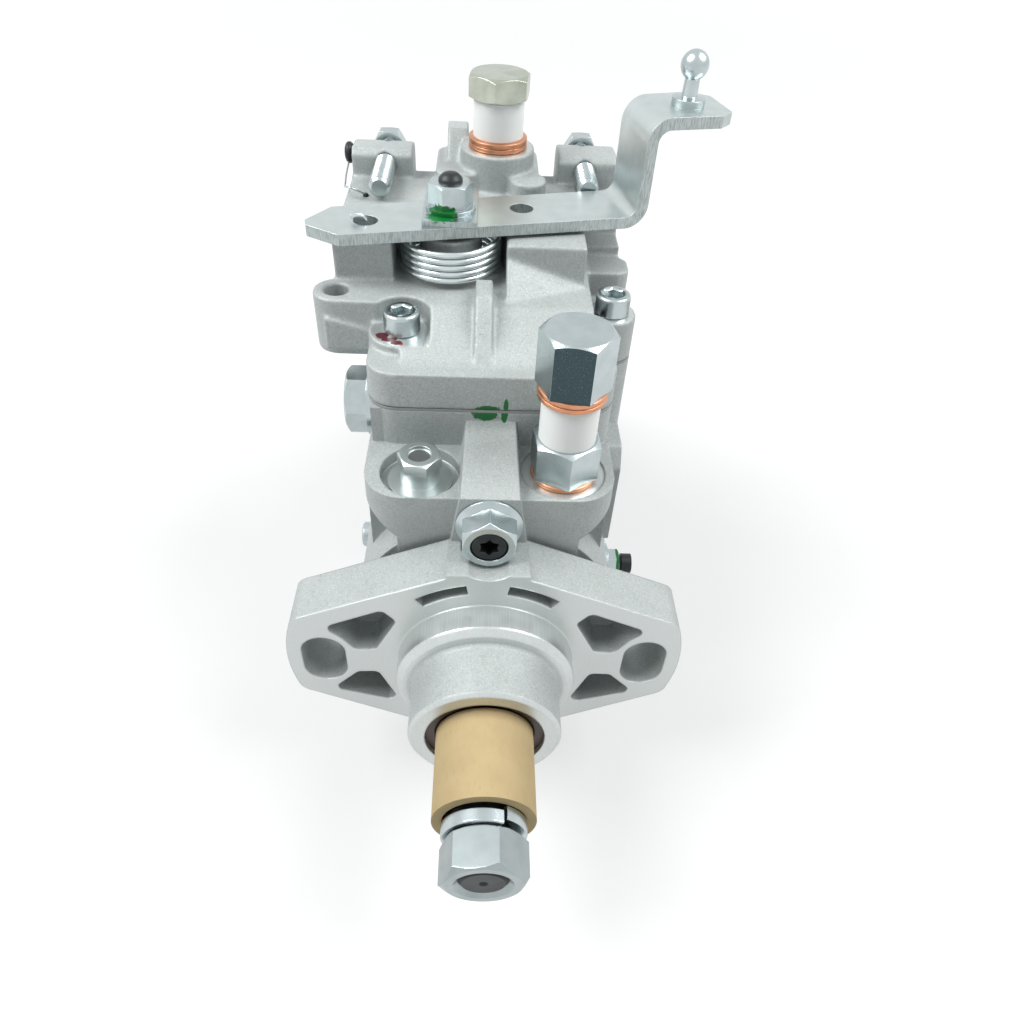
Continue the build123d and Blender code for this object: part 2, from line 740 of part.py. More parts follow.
# Throttle shaft with a crank at its foot, inside the cover.
lever_top = lever_z + lever_thick
plate_top = lever_top + plate_thick
nut_top = plate_top + lever_nut_flange + lever_nut_len
crank_z = flat_z - 14.5
crank_pin = Axis((throttle_x + crank_throw, throttle_y + crank_throw, 0), (0, 0, 1))
with BuildPart() as throttle_shaft:
    add(turned([(0, crank_z - 5), (7, crank_z - 5), (7, crank_z), (throttle_r, crank_z),
                (throttle_r, lever_z),
                (stud_r, lever_z), (stud_r, nut_top + stud_top - 0.5), (stud_r - 0.5, nut_top + stud_top),
                (0, nut_top + stud_top)], throttle_axis))
    add(tube(crank_z - 11, crank_z - 4, crank_pin_r, 0, crank_pin))

lever_plan = Plane((throttle_x, throttle_y, lever_z - 1), x_dir=(cos(radians(lever_angle)),
                                                               sin(radians(lever_angle)), 0),
                   z_dir=(0, 0, 1))
lever_side = Plane(lever_plan.origin - Vector(0, 0, lever_z - 1), x_dir=lever_plan.x_dir,
                   z_dir=-lever_plan.y_dir)
riser_out = lever_riser + lever_thick
lever_tab_z = lever_z + lever_rise
tab_under = lever_tab_z - lever_thick
with BuildPart() as throttle_lever:
    with BuildSketch(lever_side) as strip:
        with BuildLine():
            Polyline((-lever_tip, lever_z), (riser_out, lever_z), (riser_out, tab_under),
                     (lever_tab_end, tab_under),
                     (lever_tab_end, lever_tab_z), (lever_riser, lever_tab_z), (lever_riser, lever_top),
                     (-lever_tip, lever_top), close=True)
        make_face()
        for corner, radius in (((riser_out, lever_z), lever_bend + lever_thick),
                               ((lever_riser, lever_tab_z), lever_bend + lever_thick),
                               ((lever_riser, lever_top), lever_bend),
                               ((riser_out, tab_under), lever_bend)):
            fillet(strip.vertices().sort_by_distance(Vector(*corner))[0], radius)
    extrude(amount=lever_right_half + 3, both=True)
    with BuildSketch(lever_plan):
        with BuildLine():
            Polyline((-lever_tip, 1.6), (-lever_shoulder, lever_half), (lever_riser, lever_right_half),
                     (lever_tab_end - 5, lever_right_half + 1.6), (lever_tab_end, lever_right_half - 3),
                     (lever_tab_end, 3 - lever_right_half), (lever_tab_end - 4, -lever_right_half),
                     (lever_riser, -lever_right_half), (-lever_shoulder, -lever_half), (-lever_tip, -1.6),
                     close=True)
        make_face()
    extrude(amount=lever_tab_z, mode=Mode.INTERSECT)
    with BuildSketch(lever_plan):
        Circle(stud_r)
        with Locations((link_hole_x, -1.2), (spare_hole_x, 0.6)):
            Circle(lever_hole_r)
    extrude(amount=lever_thick + 2, mode=Mode.SUBTRACT)
    with BuildSketch(lever_plan.offset(tab_under - lever_z)):
        with Locations((ball_x, 0)):
            Circle(adjust_r)
    extrude(amount=lever_thick + 2, mode=Mode.SUBTRACT)

with BuildPart() as lever_stop_plate:
    with BuildSketch(Plane((throttle_x, throttle_y, lever_top))):
        with Locations((0, (plate_back - plate_front) / 2)):
            Rectangle(2 * plate_half, plate_front + plate_back)
        Circle(stud_r, mode=Mode.SUBTRACT)
    extrude(amount=plate_thick)

with BuildPart() as lever_nut:
    add(tube(plate_top, plate_top + lever_nut_flange, lever_nut_flange_r, 0, throttle_axis))
    add(hexagon(Plane((throttle_x, throttle_y, plate_top + lever_nut_flange)), lever_nut_af,
                lever_nut_len, 10))
    add(tube(plate_top, nut_top, stud_r, 0, throttle_axis), mode=Mode.SUBTRACT)

with BuildPart() as lever_return_spring:
    add(coil(Plane((throttle_x, throttle_y, flat_z + spring_wire + seat_gap)), spring_r, spring_wire,
             lever_z - flat_z - 2 * spring_wire - 2 * seat_gap, spring_turns))

ball_place = lever_plan.from_local_coords(Vector(ball_x, 0, 0))
ball_axis = Axis((ball_place.X, ball_place.Y, 0), (0, 0, 1))
with BuildPart() as ball_stud:
    add(turned([(0, tab_under - 1.8), (4.4, tab_under - 1.8), (4.4, tab_under), (adjust_r, tab_under),
                (adjust_r, lever_tab_z), (4.6, lever_tab_z), (4.6, lever_tab_z + 2),
                (2.2, lever_tab_z + 2.4),
                (2.0, lever_tab_z + ball_height - 2), (0, lever_tab_z + ball_height - 2)], ball_axis))
    with Locations((ball_place.X, ball_place.Y, lever_tab_z + ball_height)):
        Sphere(ball_r)


# An adjusting screw through a cover lug, driven from behind.
def adjusting_screw(x, tip, back):
    axis = Axis((x, 0, adjust_z), (0, 1, 0))
    end = back + adjust_nut_len + adjust_tail
    with BuildPart() as screw:
        add(turned([(0, tip), (adjust_r - 0.7, tip), (adjust_r, tip + 0.7), (adjust_r, end), (0, end)],
                   axis))
        add(block((x - 0.5, end - 1.5, adjust_z - adjust_r), (x + 0.5, end + 1, adjust_z + adjust_r)),
            mode=Mode.SUBTRACT)
    return screw


idle_screw = adjusting_screw(idle_x, idle_tip_y, lug_back)
speed_screw = adjusting_screw(speed_x, speed_tip_y, speed_lug_back)

timer_nut_x = timer_half + timer_cover_boss
with BuildPart() as locknuts:
    for x, back in ((idle_x, lug_back), (speed_x, speed_lug_back)):
        add(hexagon(across(back + adjust_nut_len, x, adjust_z), adjust_af, adjust_nut_len, 0, True))
        add(tube(back, back + adjust_nut_len, adjust_r, 0, Axis((x, 0, adjust_z), (0, 1, 0))),
            mode=Mode.SUBTRACT)
    add(hexagon(beside(timer_nut_x, timer_y, timer_z), adjust_af, adjust_nut_len, 0, True))
    add(tube(timer_nut_x, timer_nut_x + adjust_nut_len, adjust_r, 0, timer_axis), mode=Mode.SUBTRACT)

# Fuel inlet and overflow: copper washers, shipping sleeves and banjo bolts.
connector_z = platform_z - 0.5 + copper_thick
inlet_nylon_z = connector_z + connector_len
inlet_copper_z = inlet_nylon_z + inlet_nylon_len
inlet_head_z = inlet_copper_z + 2 * copper_thick
overflow_nylon_z = overflow_boss_z + 2 * copper_thick
overflow_head_z = overflow_nylon_z + overflow_nylon_len

with BuildPart() as copper_washers:
    for z, axis in ((platform_z - 0.5, inlet_axis), (inlet_copper_z, inlet_axis),
                    (inlet_copper_z + copper_thick, inlet_axis), (overflow_boss_z, overflow_axis),
                    (overflow_boss_z + copper_thick, overflow_axis)):
        add(tube(z, z + copper_thick - stack_gap, copper_r, copper_bore, axis))

with BuildPart() as nylon_sleeves:
    add(tube(inlet_nylon_z, inlet_copper_z, nylon_r, nylon_bore, inlet_axis))
    add(tube(overflow_nylon_z, overflow_head_z, nylon_r, nylon_bore, overflow_axis))

with BuildPart() as inlet_connector:
    add(hexagon(Plane((inlet_x, inlet_y, connector_z)), connector_af, connector_len, connector_turn))
    add(tube(platform_z - port_depth + 1, connector_z, inlet_thread_r, 0, inlet_axis))
    add(tube(connector_z + 2, inlet_nylon_z, inlet_thread_r - 1, 0, inlet_axis), mode=Mode.SUBTRACT)
    add(tube(platform_z - port_depth, inlet_nylon_z, 3.0, 0, inlet_axis), mode=Mode.SUBTRACT)

with BuildPart() as inlet_bolt:
    add(hexagon(Plane((inlet_x, inlet_y, inlet_head_z)), connector_af, inlet_head_len, inlet_turn))
    add(tube(connector_z + 3, inlet_head_z, inlet_thread_r - 1, 0, inlet_axis))

with BuildPart() as overflow_bolt:
    add(hexagon(Plane((overflow_x, overflow_y, overflow_head_z)), connector_af, overflow_head_len,
                overflow_turn, True))
    add(tube(overflow_boss_z - 14, overflow_head_z, inlet_thread_r, 0, overflow_axis))

# Pressure regulating valve: a flanged body with a hexagon neck.
valve_floor = platform_z - valve_recess
valve_top = platform_z + valve_hex_z + valve_hex_len
with BuildPart() as regulating_valve:
    add(tube(valve_floor, valve_floor + valve_flange, valve_flange_r, 0, valve_axis))
    add(tube(platform_z - valve_depth + 1, valve_floor, valve_bore_r, 0, valve_axis))
    add(tube(valve_floor, valve_top - valve_hex_len / 2, valve_neck_r, 0, valve_axis))
    add(hexagon(Plane((valve_x, valve_y, valve_top - valve_hex_len)), 2 * valve_neck_r, valve_hex_len,
                valve_turn))
    add(tube(platform_z - valve_depth, valve_floor, valve_bore_r - valve_wall, 0, valve_axis),
        mode=Mode.SUBTRACT)
    add(tube(valve_top - valve_dish, valve_top + 1, valve_neck_r - 2, 0, valve_axis), mode=Mode.SUBTRACT)

# Governor shaft and its flange nut.
with BuildPart() as governor_shaft:
    front = governor_seat_y - governor_nut_len
    step = front + governor_thread_len - seat_gap
    add(turned([(0, front), (governor_thread_r - 0.7, front), (governor_thread_r, front + 0.7),
                (governor_thread_r, step), (governor_shaft_r, step), (governor_shaft_r, governor_tail),
                (0, governor_tail)], governor_axis))
    lobes = [(torx_r * (1 if k % 2 else 0.72) * cos(k * pi / 6),
              torx_r * (1 if k % 2 else 0.72) * sin(k * pi / 6))
             for k in range(12)]
    add(prism(across(front, 0, governor_z), lobes, -4), mode=Mode.SUBTRACT)

with BuildPart() as governor_nut:
    flange_y = governor_seat_y - governor_nut_flange
    add(turned([(0, governor_seat_y), (governor_nut_flange_r, governor_seat_y),
                (governor_nut_flange_r, governor_seat_y - 0.8), (7.2, flange_y), (0, flange_y)],
               governor_axis))
    add(hexagon(across(flange_y, 0, governor_z), governor_nut_af,
                governor_nut_len - governor_nut_flange, 30))
    add(tube(0, governor_seat_y, governor_thread_r, 0, governor_axis), mode=Mode.SUBTRACT)

with BuildPart() as side_plug:
    add(tube(-box_half, plug_depth - box_half, plug_r, 0, plug_axis))
    add(tube(-box_half - plug_collar, -box_half, plug_collar_r, 0, plug_axis))
    add(hexagon(Plane((-box_half - plug_collar, plug_y, plug_z), x_dir=(0, 1, 0), z_dir=(-1, 0, 0)),
                plug_af,
                plug_head, 8))


# A timer end cover with its screw pattern, facing left or right.
def timer_cover(side):
    start = side * timer_half
    with BuildPart() as cover:
        with BuildSketch(beside(start, timer_y, timer_z)):
            RectangleRounded(2 * (timer_screw_y + timer_cover_edge), 2 * timer_cover_half, timer_cover_edge)
        extrude(amount=side * timer_cover_thick)
        for y in (-timer_screw_y, timer_screw_y):
            add(tube(min(start, start + side * 10), max(start, start + side * 10), screw_r, 0,
                     Axis((0, timer_y + y, timer_z), (1, 0, 0))), mode=Mode.SUBTRACT)
        if side > 0:
            add(tube(start, start + timer_cover_boss, 8.0, 0, timer_axis))
            add(tube(start - 1, start + 30, adjust_r, 0, timer_axis), mode=Mode.SUBTRACT)
    return cover


timer_cover_left = timer_cover(-1)
timer_cover_right = timer_cover(1)

with BuildPart() as timer_cover_screws:
    for side in (-1, 1):
        out = timer_half + timer_cover_thick
        for y in (-timer_screw_y, timer_screw_y):
            seat = Plane((side * out, timer_y + y, timer_z), x_dir=(0, 1, 0), z_dir=(side, 0, 0))
            add(cap_screw(seat, timer_cover_thick))

with BuildPart() as timer_piston:
    add(tube(timer_rest_x - timer_piston_half, timer_rest_x + timer_piston_half, timer_r - running_gap, 0,
             timer_axis))
    add(block((timer_rest_x - 6.2, timer_y - timer_pin_r - 0.4, timer_z - 5),
              (timer_rest_x + 6.2, timer_y + timer_pin_r + 0.4, timer_z + timer_r + 1)),
        mode=Mode.SUBTRACT)
    add(tube(timer_rest_x + 8, timer_rest_x + timer_piston_half + 1, 7.0, 0, timer_axis),
        mode=Mode.SUBTRACT)

with BuildPart() as timer_spring:
    spring_start = timer_rest_x + timer_travel + 8 + 1.4
    add(coil(beside(spring_start, timer_y, timer_z), 5.0, 1.0, timer_half - 1.4 - spring_start, 5))

with BuildPart() as timer_adjuster:
    add(tube(timer_half, timer_nut_x + adjust_nut_len + 1, adjust_r, 0, timer_axis))
    add(tube(timer_nut_x + adjust_nut_len + 1, timer_nut_x + adjust_nut_len + 5, adjust_cap_r, 0,
             timer_axis))

# Roller ring with its advance pin, rollers, cross disc and cam plate.
roller_angles = [45 + 90 * k for k in range(4)]


# A rod standing out along a radius of the shaft axis.
def spoke(y, angle, start, end, radius):
    out = Vector(cos(radians(angle)), 0, sin(radians(angle)))
    return turned_about(Plane((0, y, 0), x_dir=(0, 1, 0), z_dir=out),
                        [(0, start), (radius, start), (radius, end), (0, end)])


with BuildPart() as roller_ring:
    add(tube(ring_front, ring_back, ring_r, ring_bore))
    for angle in roller_angles:
        add(spoke(roller_y, angle, roller_mid_r - roller_len / 2 - 0.3,
                  roller_mid_r + roller_len / 2 + 0.3,
                  roller_r + 0.2), mode=Mode.SUBTRACT)
    add(tube(timer_z - 2, 0.6 - ring_r, timer_pin_r, 0, Axis((timer_rest_x, timer_y, 0), (0, 0, 1))))

with BuildPart() as rollers:
    for angle in roller_angles:
        add(spoke(roller_y, angle, roller_mid_r - roller_len / 2, roller_mid_r + roller_len / 2,
                  roller_r))

with BuildPart() as cross_disc:
    add(tube(disc_front, disc_back, disc_r, 5.0))
    for angle in range(0, 360, 90):
        with BuildSketch(across(disc_back + 1)):
            with PolarLocations(disc_r, 1, angle):
                Rectangle(2 * (disc_r - jaw_inner), 2 * jaw_half + 0.4)
        extrude(amount=disc_back - disc_front + 2, mode=Mode.SUBTRACT)

cam_top = roller_y + roller_r + seat_gap
cam_face = cam_top + lobe_height
cam_back = cam_face + cam_thick
with BuildPart() as cam_plate:
    add(tube(cam_face, cam_back, cam_r, 0))
    for lobe in range(lobe_count):
        turn = 360 / lobe_count * lobe
        out = Vector(cos(radians(turn)), 0, sin(radians(turn)))
        side = Plane((0, cam_face, 0), x_dir=(-out.Z, 0, out.X), z_dir=out)
        rise = -lobe_height if side.y_dir.Y > 0 else lobe_height
        ramp = prism(Plane(side.origin + out * 20, x_dir=side.x_dir, z_dir=out),
                     [(-13, 0), (-3, rise), (3, rise), (13, 0), (13, -rise), (-13, -rise)], cam_r - 21)
        add(ramp)
    for angle in (90, 270):
        with BuildSketch(across(cam_face + 1)):
            with PolarLocations((disc_r + jaw_inner) / 2, 1, angle):
                Rectangle(disc_r - jaw_inner - 1, 2 * jaw_half)
        extrude(amount=cam_face + 1 - disc_front - 4)

with BuildPart() as plunger:
    add(tube(cam_back, plunger_end, plunger_r, 0))
    add(tube(cam_back, cam_back + foot_thick, foot_r, 0))

# Plunger return springs, seated in the head.
spring_seat = rear_y - head_spigot
with BuildPart() as plunger_springs:
    for x in (-return_spring_x, return_spring_x):
        reach = spring_seat - cam_back - foot_thick - 2 * return_spring_wire - 2 * seat_gap
        add(coil(across(spring_seat - return_spring_wire - 0.1, x, 0), return_spring_r,
                 return_spring_wire, reach, 6))

with BuildPart() as control_sleeve:
    add(tube(control_front, control_front + control_len, control_r, plunger_r + running_gap))
    add(tube(4, control_r + 1, 3.0, 0, Axis((0, control_front + control_len / 2, 0), (0, 0, 1))),
        mode=Mode.SUBTRACT)
    add(tube(control_front - 1, control_front + control_len + 1, plunger_r + running_gap, 0),
        mode=Mode.SUBTRACT)

# Drive shaft: thread, taper with a keyway, journal and two rear jaws.
shaft_front = sleeve_front - washer_thick - shaft_nut_len + tip_recess
with BuildPart() as drive_shaft:
    add(turned([(0, shaft_front + 1.2), (1.2, shaft_front), (thread_r - 0.8, shaft_front),
                (thread_r, shaft_front + 0.8), (thread_r, taper_front), (taper_end_r, taper_front),
                (shaft_r, seal_front - 0.5), (shaft_r, disc_front - 0.4), (0, disc_front - 0.4)]))
    for angle in (0, 180):
        with BuildSketch(across(disc_back - 4)):
            with PolarLocations((disc_r + jaw_inner) / 2, 1, angle):
                Rectangle(disc_r - jaw_inner - 1, 2 * jaw_half)
        extrude(amount=disc_back - 4 - disc_front + 0.4 + 2)
    add(tube(disc_front - 6, disc_front - 0.4, disc_r - 0.5, 0))
    add(block((-2, taper_front + 6, 6.6), (2, seal_front - 6, shaft_r + 2)), mode=Mode.SUBTRACT)

with BuildPart() as shaft_nut:
    nut_back = sleeve_front - washer_thick
    add(hexagon(across(nut_back), shaft_nut_af, shaft_nut_len, shaft_nut_turn, True))
    add(tube(nut_back - shaft_nut_len - 1, nut_back + 1, thread_r, 0), mode=Mode.SUBTRACT)

with BuildPart() as spring_washer:
    add(tube(sleeve_front - washer_thick, sleeve_front, washer_r, thread_r + 0.2))
    add(prism(across(sleeve_front + 1), [(2.0, 5.0), (3.2, 5.0), (7.6, 12.0), (5.6, 12.0)],
              washer_thick + 2),
        mode=Mode.SUBTRACT)

with BuildPart() as taper_sleeve:
    add(tube(sleeve_front, seal_front - seat_gap, sleeve_r, sleeve_bore))

with BuildPart() as oil_seal:
    add(turned([(shaft_r + seal_lip_gap, seal_front + 2), (13.4, seal_front), (seal_r, seal_front),
                (seal_r, seal_back),
                (13.0, seal_back), (13.0, seal_back - 3), (shaft_r + seal_lip_gap, seal_front + 4)]))

with BuildPart() as shaft_bush:
    add(tube(bush_front, bush_back, bush_r, shaft_r + running_gap))

# Vane feed pump: eccentric liner, rotor, vanes and support plate.
pump_back = pump_bore_front + pump_len
with BuildPart() as vane_ring:
    add(tube(pump_bore_front, pump_back, pump_bore_r, 0))
    add(tube(pump_bore_front - 1, pump_back + 1, liner_bore, 0, Axis((liner_offset, 0, 0), (0, 1, 0))),
        mode=Mode.SUBTRACT)

with BuildPart() as vane_rotor:
    add(tube(pump_bore_front + 0.1, pump_back - 0.1, rotor_r, shaft_r))
    for k in range(vane_count):
        with BuildSketch(across(pump_back + 1)):
            with PolarLocations(rotor_r - 3, 1, 45 + 360 / vane_count * k):
                Rectangle(11, 2 * vane_half + 2 * running_gap)
        extrude(amount=pump_len + 2, mode=Mode.SUBTRACT)

with BuildPart() as vanes:
    for k in range(vane_count):
        with BuildSketch(across(pump_back - 0.2)):
            with PolarLocations(rotor_r - 4.2, 1, 45 + 360 / vane_count * k):
                Rectangle(8.6, 2 * vane_half)
        extrude(amount=pump_len - 0.4)

with BuildPart() as vane_plate:
    add(tube(pump_back, pump_back + plate_len, pump_bore_r, shaft_r + 0.4))

# Governor gears, flyweights and sliding sleeve.
with BuildPart() as drive_gear:
    add(gear(gear_front, gear_thick, drive_teeth, shaft_r, 0, 90))

with BuildPart() as governor_gear:
    add(gear(gear_front, gear_thick, governor_teeth, governor_shaft_r + running_gap, governor_z,
             -90 + 180 / governor_teeth))
    for k in range(weight_count):
        turn = 45 + 360 / weight_count * k
        for shift in (-weight_half - 1.4, weight_half + 1.4):
            out = Vector(cos(radians(turn)), 0, sin(radians(turn)))
            base = Plane((0, gear_front + gear_thick, governor_z), x_dir=out, z_dir=(0, 1, 0))
            with BuildSketch(base):
                with Locations((weight_pivot_r, shift)):
                    Rectangle(5.0, 2.0)
            extrude(amount=6.4)
            with BuildSketch(Plane(Vector(0, weight_pivot_y, governor_z) + out * weight_pivot_r,
                                   x_dir=(0, 1, 0),
                                   z_dir=base.y_dir)):
                Circle(1.3)
            extrude(amount=weight_half + 4, both=True, mode=Mode.SUBTRACT)


# One flyweight: a block on a pivot pin with a toe that pushes the sleeve.
def flyweight(k):
    turn = 45 + 360 / weight_count * k
    out = Vector(cos(radians(turn)), 0, sin(radians(turn)))
    across_pin = Plane((0, weight_pivot_y, governor_z), x_dir=out, z_dir=(0, 1, 0)).y_dir
    middle = Plane((0, weight_pivot_y, governor_z), x_dir=out, z_dir=across_pin)
    lift = 1 if middle.y_dir.Y > 0 else -1
    with BuildPart() as weight:
        with BuildSketch(middle):
            with BuildLine():
                Polyline((toe_in, -lift * weight_front), (weight_out, -lift * weight_front),
                         (weight_out, lift * weight_len),
                         (weight_in, lift * weight_len), (weight_in, lift * (toe_thick - weight_front)),
                         (toe_in, lift * (toe_thick - weight_front)), close=True)
            make_face()
        extrude(amount=weight_half, both=True)
        with BuildSketch(Plane(middle.origin + out * weight_pivot_r, x_dir=middle.x_dir,
                               z_dir=middle.z_dir)):
            Circle(1.2)
        extrude(amount=weight_half + 2.2, both=True)
    return weight


slider_front = weight_pivot_y + toe_thick - weight_front + seat_gap
with BuildPart() as governor_sleeve:
    add(tube(slider_front, slider_front + slider_len, slider_r - 3, governor_shaft_r + running_gap,
             governor_axis))
    add(tube(slider_front, slider_front + 2, slider_r, governor_shaft_r + running_gap, governor_axis))
    add(tube(slider_front + slider_len - 2.5, slider_front + slider_len, slider_r,
             governor_shaft_r + running_gap,
             governor_axis))

# Governor lever: a forked arm on two pivot bolts, with a ball in the control sleeve.
arm_top_y = slider_front + slider_len + seat_gap
ball_y = control_front + control_len / 2
with BuildPart() as governor_lever:
    for x in (-arm_half - 4.0, arm_half):
        add(prism(beside(x), [(arm_top_y + 2.5, governor_z - 6), (arm_top_y, governor_z - 2),
                              (arm_top_y, governor_z + 7), (arm_top_y + arm_thick, governor_z + 7),
                              (arm_top_y + arm_thick, governor_z - 4),
                              (arm_pivot_y + 4, arm_pivot_z + 3), (arm_pivot_y + 4, arm_pivot_z - 4),
                              (arm_pivot_y - 3, arm_pivot_z + 3)], 4.0))
    add(tube(-box_half + wall + 1.4, box_half - wall - 1.4, arm_pivot_r + 1.5, 0,
             Axis((0, arm_pivot_y, arm_pivot_z), (1, 0, 0))))
    add(prism(beside(-1.4), [(arm_pivot_y - 1, arm_pivot_z - 4), (arm_pivot_y + 4, arm_pivot_z + 2),
                             (ball_y + 1.2, 18), (ball_y + 1.2, arm_ball_z), (ball_y - 1.2, arm_ball_z),
                             (ball_y - 1.2, 16)], 2.8))
    with Locations((0, ball_y, arm_ball_z)):
        Sphere(arm_ball_r)
    add(tube(-box_half + wall - 3, box_half - wall + 3, arm_pivot_r, 0,
             Axis((0, arm_pivot_y, arm_pivot_z), (1, 0, 0))))

with BuildPart() as governor_spring:
    link = crank_pin.position + Vector(0, -crank_pin_r - 0.9, crank_z - 8.6)
    add(coil(across(link.Y, link.X, link.Z), 2.6, 0.6, 3.6, 3))

# Distributor head with its bolts, delivery valves and holders, centre plug and stop solenoid.
head_back = rear_y + head_len
valve_spots = [(valve_pitch_r * cos(radians(45 + 90 * k)), valve_pitch_r * sin(radians(45 + 90 * k)))
               for k in range(4)]
with BuildPart() as distributor_head:
    add(tube(rear_y - head_spigot, rear_y, chamber_r - running_gap, 0))
    with BuildSketch(across(rear_y + head_flange)):
        RectangleRounded(2 * head_flange_half, 2 * head_flange_half, 8)
    extrude(amount=head_flange)
    add(tube(rear_y, head_back, head_r, 0))
    add(tube(0, solenoid_z, solenoid_r, 0, Axis((0, solenoid_y, 0), (0, 0, 1))))
    add(tube(rear_y - head_spigot - 1, head_back - 8, plunger_r + running_gap, 0), mode=Mode.SUBTRACT)
    add(tube(head_back - 8, head_back + 1, 7.0, 0), mode=Mode.SUBTRACT)
    add(tube(solenoid_z - 12, solenoid_z + 1, 6.0, 0, Axis((0, solenoid_y, 0), (0, 0, 1))),
        mode=Mode.SUBTRACT)
    for x, z in valve_spots:
        add(tube(head_back - 14, head_back + 1, holder_r, 0, Axis((x, 0, z), (0, 1, 0))),
            mode=Mode.SUBTRACT)
    for x in (-head_bolt_pitch, head_bolt_pitch):
        for z in (-head_bolt_pitch, head_bolt_pitch):
            add(tube(rear_y - 1, rear_y + head_flange + 1, screw_r + 0.3, 0, Axis((x, 0, z), (0, 1, 0))),
                mode=Mode.SUBTRACT)
            add(tube(rear_y + head_flange, head_back + 1, screw_head_r + 0.6, 0,
                     Axis((x, 0, z), (0, 1, 0))),
                mode=Mode.SUBTRACT)

with BuildPart() as head_bolts:
    for x in (-head_bolt_pitch, head_bolt_pitch):
        for z in (-head_bolt_pitch, head_bolt_pitch):
            seat = Plane((x, rear_y + head_flange, z), x_dir=(1, 0, 0), z_dir=(0, 1, 0))
            add(cap_screw(seat, 2 * head_flange))

with BuildPart() as delivery_holders:
    for x, z in valve_spots:
        seat = Plane((x, head_back, z), x_dir=(1, 0, 0), z_dir=(0, 1, 0))
        add(turned_about(seat, [(holder_bore, -11), (holder_r, -11), (holder_r, holder_len - 9),
                                (inlet_thread_r, holder_len - 8), (inlet_thread_r, holder_len - 0.8),
                                (inlet_thread_r - 0.8, holder_len), (3.4, holder_len),
                                (1.4, holder_len - 4), (1.4, 8), (holder_bore, 8)]))
        add(hexagon(Plane(seat.origin + seat.z_dir * 1.5, x_dir=seat.x_dir, z_dir=seat.z_dir), holder_af,
                    holder_hex, 15, True))
        add(turned_about(seat, [(0, -12), (holder_bore, -12), (holder_bore, 8), (1.4, 8),
                                (1.4, holder_len + 1), (0, holder_len + 1)]), mode=Mode.SUBTRACT)

with BuildPart() as delivery_valves:
    for x, z in valve_spots:
        seat = Plane((x, head_back, z), x_dir=(1, 0, 0), z_dir=(0, 1, 0))
        add(turned_about(seat, [(0, -13.7), (holder_bore - running_gap, -13.7),
                                (holder_bore - running_gap, -5),
                                (2.2, -4), (2.2, 0), (0, 0)]))

with BuildPart() as head_plug:
    add(tube(head_back - 7.6, head_back, 7.0, 0))
    add(hexagon(Plane((0, head_back, 0), x_dir=(1, 0, 0), z_dir=(0, 1, 0)), head_plug_af, 7, 0))
    add(tube(head_back + 3, head_back + 8, 3.0, 0), mode=Mode.SUBTRACT)

with BuildPart() as stop_solenoid:
    post = Axis((0, solenoid_y, 0), (0, 0, 1))
    top = solenoid_z + solenoid_len
    add(tube(solenoid_z - 11, solenoid_z, 6.0, 0, post))
    add(hexagon(Plane((0, solenoid_y, solenoid_z)), solenoid_af, 7, 0, True))
    add(turned([(0, solenoid_z + 6), (solenoid_r, solenoid_z + 6), (solenoid_r, top - 1.5),
                (solenoid_r - 1.5, top),
                (5, top), (5, top + 3), (2, top + 3), (2, top + 9), (0, top + 9)], post))

pieces = {
    "pump_housing": pump_housing, "cover_gasket": cover_gasket, "governor_cover": governor_cover,
    "cover_screws": cover_screws, "throttle_shaft": throttle_shaft, "throttle_lever": throttle_lever,
    "lever_stop_plate": lever_stop_plate, "lever_nut": lever_nut,
    "lever_return_spring": lever_return_spring,
    "ball_stud": ball_stud, "idle_screw": idle_screw, "speed_screw": speed_screw, "locknuts": locknuts,
    "copper_washers": copper_washers, "nylon_sleeves": nylon_sleeves, "inlet_connector": inlet_connector,
    "inlet_bolt": inlet_bolt, "overflow_bolt": overflow_bolt, "regulating_valve": regulating_valve,
    "governor_shaft": governor_shaft, "governor_nut": governor_nut, "side_plug": side_plug,
    "timer_cover_left": timer_cover_left, "timer_cover_right": timer_cover_right,
    "timer_cover_screws": timer_cover_screws, "timer_piston": timer_piston, "timer_spring": timer_spring,
    "timer_adjuster": timer_adjuster, "roller_ring": roller_ring, "rollers": rollers,
    "cross_disc": cross_disc, "cam_plate": cam_plate, "plunger": plunger,
    "plunger_springs": plunger_springs,
    "control_sleeve": control_sleeve, "drive_shaft": drive_shaft, "shaft_nut": shaft_nut,
    "spring_washer": spring_washer, "taper_sleeve": taper_sleeve, "oil_seal": oil_seal,
    "shaft_bush": shaft_bush,
    "vane_ring": vane_ring, "vane_rotor": vane_rotor, "vanes": vanes, "vane_plate": vane_plate,
    "drive_gear": drive_gear, "governor_gear": governor_gear, "governor_sleeve": governor_sleeve,
    "governor_lever": governor_lever, "governor_spring": governor_spring,
    "distributor_head": distributor_head,
    "head_bolts": head_bolts, "delivery_holders": delivery_holders, "delivery_valves": delivery_valves,
    "head_plug": head_plug, "stop_solenoid": stop_solenoid,
}
pieces.update({f"flyweight_{k + 1}": flyweight(k) for k in range(weight_count)})

os.makedirs("parts", exist_ok=True)
for name, piece in pieces.items():
    piece.part.label = name
    export_step(piece.part, f"parts/{name}.step")
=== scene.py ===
import json
import math

import bmesh
import bpy
from mathutils import Matrix, Vector


